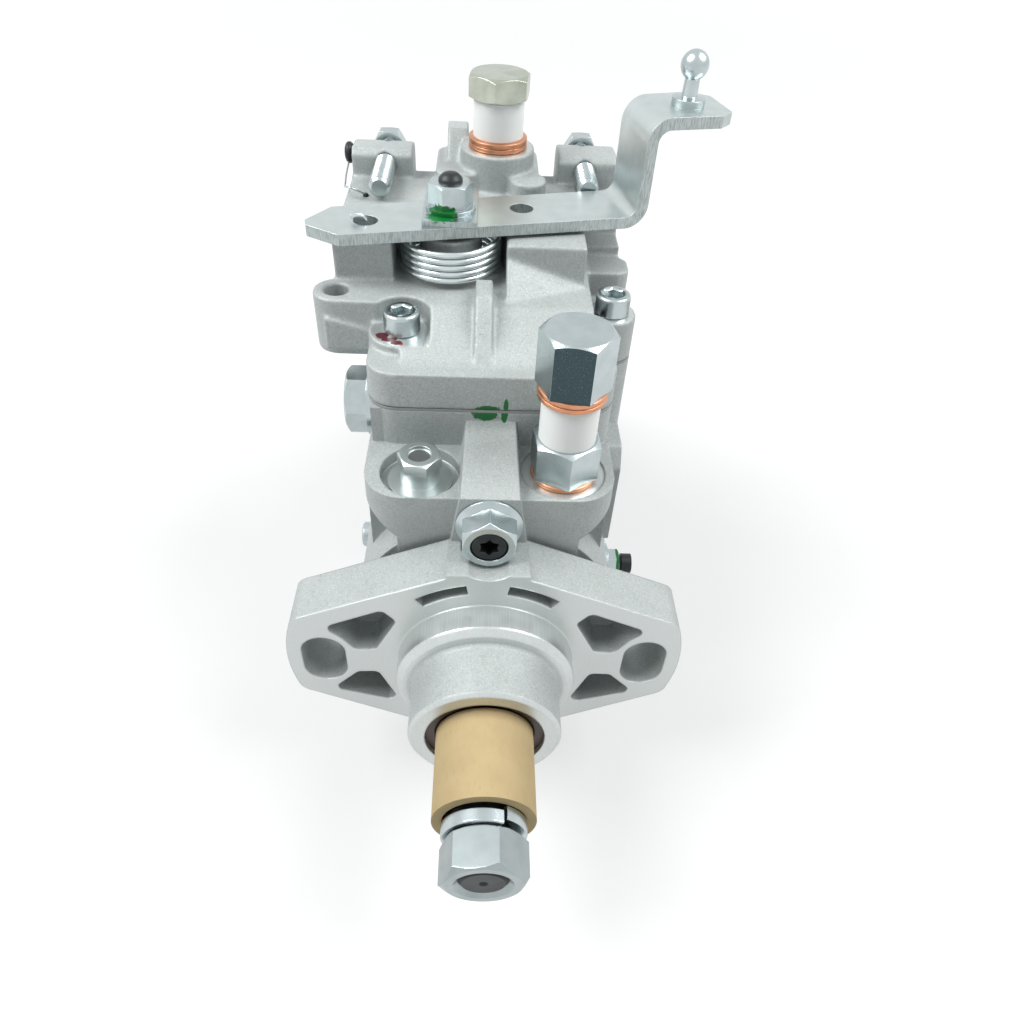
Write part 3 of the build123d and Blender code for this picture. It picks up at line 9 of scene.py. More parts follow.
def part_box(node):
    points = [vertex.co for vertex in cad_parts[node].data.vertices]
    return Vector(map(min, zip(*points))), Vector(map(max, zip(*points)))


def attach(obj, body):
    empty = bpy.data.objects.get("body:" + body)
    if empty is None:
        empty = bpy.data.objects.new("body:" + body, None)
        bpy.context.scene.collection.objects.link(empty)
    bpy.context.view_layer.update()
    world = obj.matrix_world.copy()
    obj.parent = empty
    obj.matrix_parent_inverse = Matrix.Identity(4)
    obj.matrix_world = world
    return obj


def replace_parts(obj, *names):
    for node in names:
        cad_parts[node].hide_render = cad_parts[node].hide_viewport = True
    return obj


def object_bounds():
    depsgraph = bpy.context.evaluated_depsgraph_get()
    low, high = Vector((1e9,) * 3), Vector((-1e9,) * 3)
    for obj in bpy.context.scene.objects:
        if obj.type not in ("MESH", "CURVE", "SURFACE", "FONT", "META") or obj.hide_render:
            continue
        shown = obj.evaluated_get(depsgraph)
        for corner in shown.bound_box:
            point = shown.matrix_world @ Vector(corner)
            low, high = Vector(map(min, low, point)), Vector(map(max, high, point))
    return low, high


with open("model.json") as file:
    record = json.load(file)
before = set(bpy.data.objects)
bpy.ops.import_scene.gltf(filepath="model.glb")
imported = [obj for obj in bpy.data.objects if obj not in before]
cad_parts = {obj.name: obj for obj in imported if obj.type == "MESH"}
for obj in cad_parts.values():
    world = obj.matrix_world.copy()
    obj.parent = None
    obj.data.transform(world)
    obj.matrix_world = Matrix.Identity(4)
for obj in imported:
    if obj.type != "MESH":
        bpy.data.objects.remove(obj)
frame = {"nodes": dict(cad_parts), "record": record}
cadLow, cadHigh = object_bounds()
nodes = frame["nodes"]
mm = 0.001
print("frame loaded:", len(nodes), "nodes")

scene = bpy.context.scene
scene.view_settings.view_transform = "Standard"


class Wire:  # a shader socket that can stand in a sum
    def __init__(self, finish, socket):
        self.finish, self.socket = finish, socket

    def calc(self, operation, *values):
        return self.finish.add("ShaderNodeMath", {"operation": operation}, dict(enumerate(values)))

    def __add__(self, other):
        return self.calc("ADD", self, other)

    def __sub__(self, other):
        return self.calc("SUBTRACT", self, other)

    def __rsub__(self, other):
        return self.calc("SUBTRACT", other, self)

    def __mul__(self, other):
        return self.calc("MULTIPLY", self, other)

    def __or__(self, other):  # either mask
        return self.calc("MAXIMUM", self, other)

    def __and__(self, other):  # both masks
        return self.calc("MINIMUM", self, other)

    def __abs__(self):
        return self.calc("ABSOLUTE", self)

    __radd__ = __add__
    __rmul__ = __mul__
    __ror__ = __or__
    __rand__ = __and__


class Finish:  # a material, or the world, under construction
    def __init__(self, name, holder=None):
        self.material = holder or bpy.data.materials.new(name)
        self.material.use_nodes = True
        self.tree = self.material.node_tree
        self.shader = self.tree.nodes.get("Principled BSDF")

    def add(self, kind, settings=None, sockets=None, out=0):
        node = self.tree.nodes.new(kind)
        for name, value in (settings or {}).items():
            setattr(node, name, value)
        for key, value in (sockets or {}).items():
            self.feed(node.inputs[key], value)
        return Wire(self, node.outputs[out])

    def feed(self, socket, value):
        if isinstance(value, Wire):
            self.tree.links.new(value.socket, socket)
        elif socket.type == "RGBA":
            socket.default_value = (*value[:3], 1)
        else:
            socket.default_value = value

    def put(self, **sockets):
        for name, value in sockets.items():
            self.feed(self.shader.inputs[name.replace("_", " ")], value)
        return self

    def place(self):  # position on the pump, in metres
        return self.add("ShaderNodeTexCoord", out="Object")

    def parted(self, vector):  # a vector as three values
        at = self.add("ShaderNodeSeparateXYZ", sockets={0: vector}).socket.node
        return [Wire(self, at.outputs[k]) for k in range(3)]

    def along(self):
        return self.parted(self.place())

    def facing(self):
        return self.parted(self.add("ShaderNodeTexCoord", out="Normal"))

    def stretched(self, x, y, z):
        return self.add("ShaderNodeVectorMath", {"operation": "MULTIPLY"}, {0: self.place(), 1: (x, y, z)})

    def noise(self, size, detail=2.0, rough=0.5, vector=None):
        sockets = {"Vector": vector or self.place(), "Scale": 1 / size, "Detail": detail, "Roughness": rough}
        return self.add("ShaderNodeTexNoise", sockets=sockets)

    def step(self, value, low, high):  # 0 below low, 1 above high, smooth between; low may be the larger
        return self.add("ShaderNodeMapRange", {"interpolation_type": "SMOOTHSTEP"},
                        {0: value, 1: low, 2: high, 3: 0.0, 4: 1.0})

    def between(self, value, low, high, soft):
        return self.step(value, low - soft, low + soft) & self.step(value, high + soft, high - soft)

    def blend(self, factor, first, second):
        node = self.add("ShaderNodeMix", {"data_type": "RGBA"}, {0: factor, 6: first, 7: second}).socket.node
        return Wire(self, node.outputs[2])

    def rounded(self, radius):
        return self.add("ShaderNodeBevel", {"samples": 6}, {"Radius": radius})

    def bump(self, height, depth, strength=1.0, normal=None):
        sockets = {"Height": height, "Distance": depth, "Strength": strength}
        if normal:
            sockets["Normal"] = normal
        return self.add("ShaderNodeBump", sockets=sockets)

    def dab(self, centre, size, ragged=0.5, grain=1.2 * mm):  # a ragged blot of paint, sizes in mm
        offset = self.add("ShaderNodeVectorMath", {"operation": "SUBTRACT"},
                          {0: self.place(), 1: [c * mm for c in centre]})
        scaled = self.add("ShaderNodeVectorMath", {"operation": "DIVIDE"}, {0: offset, 1: [c * mm for c in size]})
        far = self.add("ShaderNodeVectorMath", {"operation": "LENGTH"}, {0: scaled}, "Value")
        return self.step(far + (self.noise(grain, 3, 0.6) - 0.5) * ragged, 1.0, 0.86)

    def painted(self, colour, rough, metal, dabs):  # lays marking paint over a surface
        for paint, centre, size, ragged in dabs:
            mask = self.dab(centre, size, ragged)
            colour = self.blend(mask, colour, paint)
            rough = rough * (1 - mask) + mask * 0.3
            metal = (1 - mask) * metal
        return colour, rough, metal

    def seen(self):  # 1 for what the eye, a mirror or glass looks at
        rays = self.add("ShaderNodeLightPath").socket.node
        kinds = ("Camera", "Glossy", "Transmission")
        eye, mirror, glass = (Wire(self, rays.outputs[f"Is {kind} Ray"]) for kind in kinds)
        return eye | mirror | glass

    def edges(self, radius):  # 1 on worn edges
        bent = self.add("ShaderNodeVectorMath", {"operation": "DOT_PRODUCT"},
                        {0: self.rounded(radius), 1: self.add("ShaderNodeNewGeometry", out="Normal")}, "Value")
        return self.step(bent, 0.995, 0.86)


# Marking paint from assembly: colour, middle, half sizes in mm, raggedness.
green, red, brightRed = (0.0, 0.15, 0.025), (0.09, 0.006, 0.014), (0.42, 0.008, 0.012)
markLook = {
    "housing": [(green, (-1.6, 38.5, 59.3), (3.8, 3, 2.0), 1.0), (green, (3.6, 38.5, 59.4), (1.0, 3, 2.6), 0.9)],
    "cover": [(green, (-1.0, 38.5, 61.3), (3.4, 3, 1.1), 1.1), (green, (3.9, 38.5, 62.4), (0.7, 3, 2.4), 0.8),
              (red, (-30.2, 53.4, 74.0), (2.0, 1.7, 2.5), 0.8), (red, (-28.0, 51.5, 73.8), (2.4, 1.2, 2.8), 0.9),
              (red, (-25.9, 50.1, 73.3), (1.9, 1.2, 3.0), 0.8),
              (brightRed, (-24.5, 49.2, 71.8), (1.1, 1.7, 2.4), 0.4)],
    "nut": [(green, (-14.8, 77.2, 98.0), (4.6, 4.0, 2.6), 1.0)],
    "locknut": [(green, (52.7, 79.0, -42.0), (0.8, 9, 9), 0.3)],
}

# Cast aluminium with machined faces.
castLook = {"skin": (0.455, 0.49, 0.482), "dark": (0.21, 0.235, 0.23), "light": (0.70, 0.74, 0.73),
            "cut": (0.63, 0.665, 0.655), "grain": 0.42 * mm, "mottle": 1.1 * mm, "cloud": 9 * mm, "edge": 0.8 * mm,
            "metal": 0.25, "cutMetal": 0.6, "rings": 0.35 * mm}


def castFinish(name, cutMask, marks):
    f = Finish(name)
    cut = cutMask(f, *f.along()[1:], *f.facing()[1:])
    grain = f.noise(castLook["grain"], 3, 0.65)
    cloud = f.noise(castLook["cloud"], 3, 0.55)
    mottle = f.noise(castLook["mottle"], 2, 0.6)
    skin = f.blend(f.step(cloud, 0.25, 0.75), castLook["skin"], [0.92 * c for c in castLook["skin"]])
    skin = f.blend(f.step(mottle, 0.5, 0.8) * 0.3, skin, castLook["dark"])
    skin = f.blend(f.step(grain, 0.52, 0.72) * 0.5, skin, castLook["dark"])
    skin = f.blend(f.step(grain, 0.46, 0.28) * 0.55, skin, castLook["light"])
    rings = f.noise(castLook["rings"], 2, 0.6, f.stretched(1, 0.02, 1))
    metal = f.blend(f.step(rings, 0.3, 0.7), castLook["cut"], [0.9 * c for c in castLook["cut"]])
    colour = f.blend(cut, skin, metal)
    rough = 0.55 + (grain - 0.5) * 0.2 - cut * 0.2
    height = (grain + cloud * 0.6 + mottle) * (1 - cut) + rings * cut * 0.1
    normal = f.bump(height, 0.09 * mm, 0.6, f.rounded(castLook["edge"]))
    colour, rough, metallic = f.painted(colour, rough, castLook["metal"] + cut * castLook["cutMetal"], marks)
    f.put(Base_Color=colour, Roughness=rough, Metallic=metallic, Normal=normal)
    return f.material


# Where the castings are machined: the stretch of y or z over which each mask comes in.
cutLook = {"face": (1.2 * mm, 0.6 * mm), "pilot": (-9.6 * mm, 0.2 * mm), "rim": (-24.0 * mm, -24.5 * mm),
           "seats": (44 * mm, 48.2 * mm), "seatsEnd": (40 * mm, 39 * mm), "boss": (101.9 * mm, 102.3 * mm),
           "screwSeats": (73.8 * mm, 74.2 * mm), "upright": (0.9, 0.97)}


def housingCut(f, y, z, ny, nz):
    face = f.step(0 - ny, *cutLook["upright"]) & f.step(y, *cutLook["face"])
    pilot = f.between(y, *cutLook["pilot"], 0.2 * mm)
    rim = f.step(y, *cutLook["rim"])
    seats = f.between(z, *cutLook["seats"], 0.1 * mm) & f.step(y, *cutLook["seatsEnd"])
    seats = seats & f.step(nz, *cutLook["upright"])
    return face * 0.5 | pilot | rim | seats * 0.8


def coverCut(f, y, z, ny, nz):
    flat = f.step(z, *cutLook["boss"]) | f.between(z, *cutLook["screwSeats"], 0.1 * mm)
    return f.step(nz, *cutLook["upright"]) & flat


# Zinc plate, ground steel, black steel and copper share one recipe.
platedLook = {  # base colour, second tint, roughness, edge radius in mm, how metallic
    "zinc": ((0.51, 0.565, 0.58), (0.44, 0.50, 0.505), 0.25, 0.25, 1.0),
    "lever": ((0.60, 0.65, 0.645), (0.54, 0.595, 0.585), 0.36, 0.25, 1.0),
    "spring": ((0.66, 0.70, 0.71), (0.60, 0.65, 0.65), 0.22, 0.1, 1.0),
    "yellowed": ((0.50, 0.53, 0.46), (0.40, 0.42, 0.34), 0.26, 0.25, 1.0),
    "dull": ((0.37, 0.41, 0.415), (0.31, 0.355, 0.36), 0.3, 0.25, 1.0),
    "steel": ((0.48, 0.52, 0.52), (0.42, 0.46, 0.465), 0.3, 0.2, 1.0),
    "black": ((0.035, 0.04, 0.042), (0.02, 0.022, 0.024), 0.42, 0.25, 0.6),
    "copper": ((0.66, 0.32, 0.19), (0.55, 0.25, 0.14), 0.32, 0.25, 1.0),
    "bronze": ((0.55, 0.40, 0.20), (0.46, 0.32, 0.15), 0.38, 0.2, 1.0),
}


def platedFinish(name, marks=(), extra=None, title=None):
    base, tint, rough, edge, metal = platedLook[name]
    f = Finish((title or name) + "Plate")
    cloud = f.noise(5 * mm, 3, 0.5)
    fine = f.noise(0.15 * mm, 2, 0.5)
    colour = f.blend(f.step(cloud, 0.3, 0.75), base, tint)
    colour = f.blend(f.edges(edge * mm) * 0.35, colour, [min(1, 1.2 * c + 0.03) for c in base])
    rough = rough + (cloud - 0.5) * 0.08 + (fine - 0.5) * 0.08
    height = fine
    if extra:
        colour, rough, height = extra(f, colour, rough, height)
    normal = f.bump(height, 0.012 * mm, 0.5, f.rounded(edge * mm))
    colour, rough, metallic = f.painted(colour, rough, metal, marks)
    f.put(Base_Color=colour, Roughness=rough, Metallic=metallic, Normal=normal)
    return f.material


tearLook = {"dark": (0.22, 0.25, 0.25), "grain": 0.3 * mm}


def shearedEdge(f, colour, rough, height):  # the lever's blanked edge: fine upright tears
    ny, nz = f.facing()[1:]
    edge = f.step(ny, -0.5, -0.8) & f.step(abs(nz), 0.4, 0.2)
    tears = f.noise(tearLook["grain"], 2, 0.6, f.stretched(1, 1, 0.12))
    colour = f.blend(edge * (0.35 + f.step(tears, 0.42, 0.65) * 0.4), colour, tearLook["dark"])
    return colour, rough + edge * 0.06, height + tears * edge * 3


discLook = {"colour": (0.16, 0.17, 0.17), "centre": (-19.0, 27.0, 53.6), "size": (3.25, 3.25, 1.5),
            "floor": (53.0 * mm, 53.2 * mm)}


def valveDisc(f, colour, rough, height):  # the grey end disc of the regulating valve
    disc = f.dab(discLook["centre"], discLook["size"], 0.02) & f.step(f.along()[2], *discLook["floor"])
    return f.blend(disc, colour, discLook["colour"]), rough + disc * 0.2, height


# Painted dark reflection on the inlet bolt's flat that faces the front (-Y); the speckle also roughens its bump.
frontFlatReflectionLook = {"dark": (0.055, 0.085, 0.095), "light": (0.30, 0.35, 0.365), "grain": 0.3 * mm}


def paintedReflectionFlat(f, colour, rough, height):  # the inlet bolt's front flat: painted dark reflection, speckled, with a real rougher bump
    flat = f.step(f.facing()[1], -0.93, -0.975)
    speckle = f.noise(frontFlatReflectionLook["grain"], 3, 0.65)
    dark = f.blend(f.step(speckle, 0.58, 0.8), frontFlatReflectionLook["dark"], frontFlatReflectionLook["light"])
    return f.blend(flat, colour, dark), rough + flat * 0.22, height + flat * speckle * 5


nylonLook = {"base": (0.93, 0.955, 0.93), "pale": (0.95, 0.97, 0.95), "rough": 0.42, "glow": 0.15, "reach": 4 * mm}


def nylonFinish():
    f = Finish("nylonSleeve")
    cloud = f.noise(6 * mm, 2, 0.5)
    fine = f.noise(0.4 * mm, 2, 0.5, f.stretched(1, 1, 0.2))
    f.put(Base_Color=f.blend(cloud, nylonLook["base"], nylonLook["pale"]),
          Roughness=nylonLook["rough"] + (fine - 0.5) * 0.1, Subsurface_Weight=nylonLook["glow"],
          Subsurface_Radius=[nylonLook["reach"]] * 3, Subsurface_Scale=1.0,
          Normal=f.bump(fine, 0.03 * mm, 0.3, f.rounded(0.3 * mm)))
    return f.material


cardLook = {"base": (0.50, 0.385, 0.205), "shade": (0.455, 0.345, 0.18), "fibre": (0.36, 0.26, 0.13), "rough": 0.78}


def cardFinish():
    f = Finish("cardTube")
    fibre = f.noise(0.7 * mm, 4, 0.65, f.stretched(1, 0.25, 1))
    cloud = f.noise(9 * mm, 3, 0.6)
    colour = f.blend(f.step(cloud, 0.3, 0.75), cardLook["base"], cardLook["shade"])
    colour = f.blend(f.step(fibre, 0.55, 0.75) * 0.35, colour, cardLook["fibre"])
    f.put(Base_Color=colour, Roughness=cardLook["rough"] + (fibre - 0.5) * 0.15,
          Normal=f.bump(fibre, 0.05 * mm, 0.5))
    return f.material


rubberLook = {"sealRubber": (0.045, 0.026, 0.018), "jointRing": (0.26, 0.265, 0.265)}


def rubberFinish(name):
    f = Finish(name)
    base = rubberLook[name]
    fine = f.noise(0.5 * mm, 3, 0.6)
    f.put(Base_Color=f.blend(fine, base, [1.5 * c for c in base]), Roughness=0.42 + (fine - 0.5) * 0.2,
          Normal=f.bump(fine, 0.03 * mm, 0.4, f.rounded(0.3 * mm)))
    return f.material


materials = {name: platedFinish(name) for name in platedLook}
materials.update({
    "nylon": nylonFinish(), "card": cardFinish(), "rubber": rubberFinish("sealRubber"),
    "gasket": rubberFinish("jointRing"),
    "housing": castFinish("castHousing", housingCut, markLook["housing"]),
    "cover": castFinish("castCover", coverCut, markLook["cover"]),
    "leverEdge": platedFinish("lever", extra=shearedEdge, title="shearedLever"),
    # inlet bolt: zinc with a painted dark reflection on its front flat
    "inletBolt": platedFinish("zinc", extra=paintedReflectionFlat, title="inletBolt"),
    "valve": platedFinish("lever", extra=valveDisc, title="regulatingValve"),
    "markedNut": platedFinish("zinc", markLook["nut"], title="markedNut"),
    "markedPlate": platedFinish("zinc", markLook["nut"], shearedEdge, "markedPlate"),
    "markedLocknut": platedFinish("zinc", markLook["locknut"], title="markedLocknut"),
})
slotFinish = {"cast": "housing", "gasket": "gasket", "zinc": "zinc", "steel": "steel", "black_steel": "black",
              "copper": "copper", "bronze": "bronze", "nylon": "nylon", "card": "card", "rubber": "rubber"}
nodeFinish = {row["node"]: slotFinish[row["material_slot"]] for row in frame["record"]["subparts"]}
nodeFinish.update({"governor_cover": "cover", "throttle_lever": "leverEdge", "lever_stop_plate": "markedPlate",
                   "lever_return_spring": "spring", "regulating_valve": "valve", "overflow_bolt": "yellowed",
                   "lever_nut": "markedNut", "inlet_bolt": "inletBolt", "locknuts": "markedLocknut"})
for name, node in nodes.items():
    node.data.materials.clear()
    node.data.materials.append(materials[nodeFinish[name]])
print("finishes:", len(bpy.data.materials))


def settle(name, mesh, finish, body, smoothAngle=38):  # a finished mesh becomes a piece of a body
    mesh.materials.clear()
    mesh.materials.append(materials[finish])
    mesh.shade_smooth()
    mesh.set_sharp_from_angle(angle=math.radians(smoothAngle))
    piece = bpy.data.objects.new(name, mesh)
    scene.collection.objects.link(piece)
    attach(piece, body)
    return piece


def fromFaces(name, fill):  # a mesh drawn by a function
    mesh = bpy.data.meshes.new(name)
    shape = bmesh.new()
    fill(shape)
    bmesh.ops.recalc_face_normals(shape, faces=shape.faces)
    shape.to_mesh(mesh)
    shape.free()
    return mesh


def standing(spot, axis, side=(0, 0, 1)):  # a frame whose Z runs along an axis, spot in mm
    z = Vector(axis).normalized()
    x = Vector(side).cross(z)
    x = x.normalized() if x.length > 1e-6 else Vector((1, 0, 0))
    turn = Matrix((x, z.cross(x), z)).transposed().to_4x4()
    return Matrix.Translation(Vector(spot) * mm) @ turn


ringLook = {"knurl": 0.16, "knurls": 48, "thread": 0.62, "nutFlat": 9.5}  # depths and half flats in mm


def hexReach(angle):  # how much farther out a hexagon lies than its flats
    return 1 / math.cos((angle + math.pi / 6) % (math.pi / 3) - math.pi / 6)


ringShapes = {
    "round": lambda r, angle, height: r,
    "knurl": lambda r, angle, height: r - ringLook["knurl"] * (round(angle * ringLook["knurls"] / math.pi) % 2),
    "hex": lambda r, angle, height: r * hexReach(angle),
    "thread": lambda r, angle, height: r - ringLook["thread"] * abs((height - angle / (2 * math.pi)) % 1 - 0.5) * 2,
    "nut": lambda r, angle, height: min(r, ringLook["nutFlat"] * hexReach(angle)),
}


def turnRows(shape, place, rows, steps):  # rows of (radius, height, ring shape) in mm, closed where the radius is 0
    rings = []
    for r, height, kind in rows:
        angles = [2 * math.pi * k / steps for k in range(steps if r else 1)]
        radii = [ringShapes[kind](r, angle, height) for angle in angles]
        rings.append([shape.verts.new(place @ (Vector((q * math.cos(a), q * math.sin(a), height)) * mm))
                      for a, q in zip(angles, radii)])
    for low, high in zip(rings, rings[1:]):
        for k in range(steps):
            corners = [low[k % len(low)], low[(k + 1) % len(low)], high[(k + 1) % len(high)], high[k % len(high)]]
            shape.faces.new(list(dict.fromkeys(corners)))


# Cover casting with rounded edges.
shellLook = {"voxel": 0.55 * mm, "rounds": 4, "pull": 0.5, "bore": (-12.5, 83.2, 4.85),
             "finX": (-5.0, -0.2),  # the rib on the slope, drawn fuller because rounding thins it
             "fin": [(42.5, 71.0), (57.5, 84.6), (67.6, 84.6), (67.6, 77.5), (60.0, 77.5), (44.0, 69.5)]}


def castShell(name, node, finish):
    mesh = nodes[node].data.copy()
    shape = bmesh.new()
    shape.from_mesh(mesh)
    bmesh.ops.remove_doubles(shape, verts=shape.verts, dist=1e-6)
    sides = [[shape.verts.new(Vector((x, y, z)) * mm) for y, z in shellLook["fin"]]
             for x in shellLook["finX"]]
    fin = [shape.faces.new(side) for side in sides]
    for k in range(len(sides[0])):
        fin.append(shape.faces.new([sides[0][k - 1], sides[0][k], sides[1][k], sides[1][k - 1]]))
    bmesh.ops.recalc_face_normals(shape, faces=fin)
    shape.to_mesh(mesh)
    shape.free()
    rough = bpy.data.objects.new(name + "Rough", mesh)
    scene.collection.objects.link(rough)
    skin = rough.modifiers.new("skin", "REMESH")
    skin.mode, skin.voxel_size = "VOXEL", shellLook["voxel"]
    soften = rough.modifiers.new("soften", "SMOOTH")
    soften.factor, soften.iterations = shellLook["pull"], shellLook["rounds"]
    bpy.context.view_layer.update()
    made = bpy.data.meshes.new_from_object(rough.evaluated_get(bpy.context.evaluated_depsgraph_get()))
    made.name = name
    x, y, room = (value * mm for value in shellLook["bore"])
    for vert in made.vertices:  # the lever's shaft keeps its room to turn
        out = vert.co.xy - Vector((x, y))
        if out.length < room:
            vert.co = (*(Vector((x, y)) + out.normalized() * room), vert.co.z)
    bpy.data.objects.remove(rough)
    piece = settle(name, made, finish, "pump_body", 180)
    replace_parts(piece, node)
    return piece


cover = castShell("castCover", "governor_cover", "cover")
print("cover casting:", len(cover.data.polygons), "faces")

# Socket-head cap screws with knurled heads.
capLook = {"head": 5.0, "length": 6.0, "socket": 2.5, "deep": 3.0, "shank": 3.0, "reach": 30.0,
           "spots": [(-25.0, 57.0, 74.0, 1), (34.6, 70.6, 74.0, 1),  # seats, and which way the head looks
                     (-35.4, 116.0, 42.0, -1), (35.4, 116.0, 42.0, -1)]}


def capScrews(shape):
    c = capLook
    top = c["length"]
    rows = [(0, -c["reach"], "round"), (c["shank"] - 0.02, -c["reach"], "round"), (c["shank"] - 0.02, 0, "round"),
            (c["head"] - 0.4, 0, "round"), (c["head"], 0.4, "round"), (c["head"], 0.9, "knurl"),
            (c["head"], top - 1.1, "knurl"), (c["head"] - 0.05, top - 0.7, "round"),
            (c["head"] - 0.35, top - 0.2, "round"), (c["head"] - 0.8, top, "round"),
            (c["socket"] + 0.75, top, "round"), (c["socket"], top - 0.45, "hex"),
            (c["socket"], top - c["deep"], "hex"), (0, top - c["deep"] - 0.7, "round")]
    for x, y, z, up in c["spots"]:
        turnRows(shape, standing((x, y, z), (0, 0, up), (0, 1, 0)), rows, 96)


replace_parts(settle("capScrews", fromFaces("capScrews", capScrews), "zinc", "pump_body"), "cover_screws")

# Copper crush washers: plain rings with rolled edges.
washerLook = {"outer": 9.0, "inner": 6.25, "thick": 1.5, "edge": 0.38,
              "inlet": (20.0, 28.4), "overflow": (0.7, 119.7), "boss": 102.7,
              "underConnector": 11.4, "underBolt": 15.6}  # heights down from the tops of the two hexagons


def crushWashers(shape):
    w = washerLook
    r, q, t, e = w["outer"], w["inner"], w["thick"], w["edge"]
    rows = [(q, e, "round"), (q + e, 0.02, "round"), (r - e, 0.02, "round"), (r - 0.1 * e, 0.55 * e, "round"),
            (r, 0.5 * t, "round"), (r - 0.1 * e, t - 0.55 * e, "round"), (r - e, t - 0.02, "round"),
            (q + e, t - 0.02, "round"), (q, t - e, "round"), (q, e, "round")]
    for spot in washerSpots():
        turnRows(shape, standing(spot, (0, 0, 1), (0, 1, 0)), rows, 64)


def washerSpots():  # the feet of the five rings, from the pieces that they lie between
    w = washerLook
    t = w["thick"]
    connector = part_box("inlet_connector")[1].z / mm - w["underConnector"]
    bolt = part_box("inlet_bolt")[1].z / mm - w["underBolt"]
    inlet = [(*w["inlet"], foot) for foot in (connector - t, bolt - 2 * t, bolt - t)]
    return inlet + [(*w["overflow"], w["boss"]), (*w["overflow"], w["boss"] + t)]


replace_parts(settle("crushWashers", fromFaces("crushWashers", crushWashers), "copper", "pump_body"),
            "copper_washers")

# Thread crests over the plain rods that show.
threadLook = {"perPitch": 8, "steps": 40, "crest": 0.32, "root": 0.05,  # heights over and under the rod in mm
              "rods": {"idleThread": ((-34.2, 100.2, 96.0), 3.0, 18.0, 1.0),  # foot, radius, length, pitch
                       "speedThread": ((28.3, 105.2, 96.0), 3.0, 13.0, 1.0)},
              "outlets": 4, "circle": 22, "outletFoot": 188.3, "outlet": (6.0, 6.4, 1.5)}


def threadSkin(name, spot, radius, length, pitch):
    def fill(shape):
        count = int(length / pitch * threadLook["perPitch"])
        rows = [(radius - threadLook["root"], 0, "round")]
        rows += [(radius + threadLook["crest"], length * k / count / pitch, "thread") for k in range(1, count)]
        rows += [(radius - threadLook["root"], length / pitch, "round")]
        place = standing(spot, (0, 1, 0)) @ Matrix.Diagonal((1, 1, pitch, 1))
        turnRows(shape, place, rows, threadLook["steps"])
    settle(name, fromFaces(name, fill), "zinc", "pump_body", 60)


for name, rod in threadLook["rods"].items():
    threadSkin(name, *rod)
for k in range(threadLook["outlets"]):
    turn = math.radians(45 + 360 / threadLook["outlets"] * k)
    reach = threadLook["circle"]
    foot = (reach * math.cos(turn), threadLook["outletFoot"], reach * math.sin(turn))
    threadSkin(f"outletThread{k + 1}", foot, *threadLook["outlet"])
print("screws, washers and threads drawn")

# Lead seal and its wire on the idle screw's lug.
sealLook = {"disc": (-44.6, 125.6, 96.6), "across": 3.2, "thick": 3.0, "wire": 0.28,
            "bead": (-38.9, 103.5, 91.7), "beadSize": 0.9,
            "route": [(-46.1, 123.6, 95.2), (-46.6, 117.0, 92.6), (-46.2, 112.0, 91.6), (-45.6, 106.0, 93.2),
                      (-44.0, 101.0, 95.4), (-41.2, 100.8, 94.6), (-38.9, 103.4, 92.2)]}


def leadSeal(shape):
    c = sealLook
    r, t = c["across"], c["thick"]
    rows = [(0, 0, "round"), (r * 0.55, 0.1, "round"), (r * 0.85, 0.5, "round"), (r, 0.38 * t, "round"),
            (r, 0.62 * t, "round"), (r * 0.85, t - 0.5, "round"), (r * 0.55, t - 0.1, "round"), (0, t, "round")]
    turnRows(shape, standing(c["disc"], (-1, 0, 0)), rows, 28)
    b = c["beadSize"]
    rows = [(0, 0, "round"), (b, 0, "round"), (b, 0.5 * b, "round"), (0.6 * b, b, "round"), (0, 1.1 * b, "round")]
    turnRows(shape, standing(c["bead"], (0, 0, 1), (0, 1, 0)), rows, 16)


def wirePiece(name, points, radius, finish, body):
    line = bpy.data.curves.new(name, "CURVE")
    line.dimensions, line.bevel_depth, line.bevel_resolution, line.use_fill_caps = "3D", radius * mm, 3, True
    path = line.splines.new("NURBS")
    path.points.add(len(points) - 1)
    for point, spot in zip(path.points, points):
        point.co = (*(Vector(spot) * mm), 1)
    path.order_u, path.use_endpoint_u, path.resolution_u = 3, True, 8
    holder = bpy.data.objects.new(name + "Line", line)
    scene.collection.objects.link(holder)
    bpy.context.view_layer.update()
    mesh = bpy.data.meshes.new_from_object(holder.evaluated_get(bpy.context.evaluated_depsgraph_get()))
    bpy.data.objects.remove(holder)
    return settle(name, mesh, finish, body, 60)


settle("leadSeal", fromFaces("leadSeal", leadSeal), "black", "pump_body")
wirePiece("sealWire", sealLook["route"], sealLook["wire"], "zinc", "pump_body")
print("seal fitted")

# End of the return spring, hooked up through the lever's left hole.
hookLook = {"wire": 0.8, "route": [(-35.2, 76.5, 92.9), (-35.4, 76.4, 95.0), (-36.0, 76.2, 97.2),
                                   (-37.6, 75.6, 97.9), (-39.4, 75.0, 97.6)]}
wirePiece("springHook", hookLook["route"], hookLook["wire"], "spring", "throttle")

# Throttle shaft with the rounded end of its stud.
studLook = {"drop": 2.0, "collar": 1.2,  # mm
            "rings": [(0.9, 0.35), (0.72, 0.7), (0.45, 0.95), (0.15, 1.05)]}  # shares of the radius, heights in mm


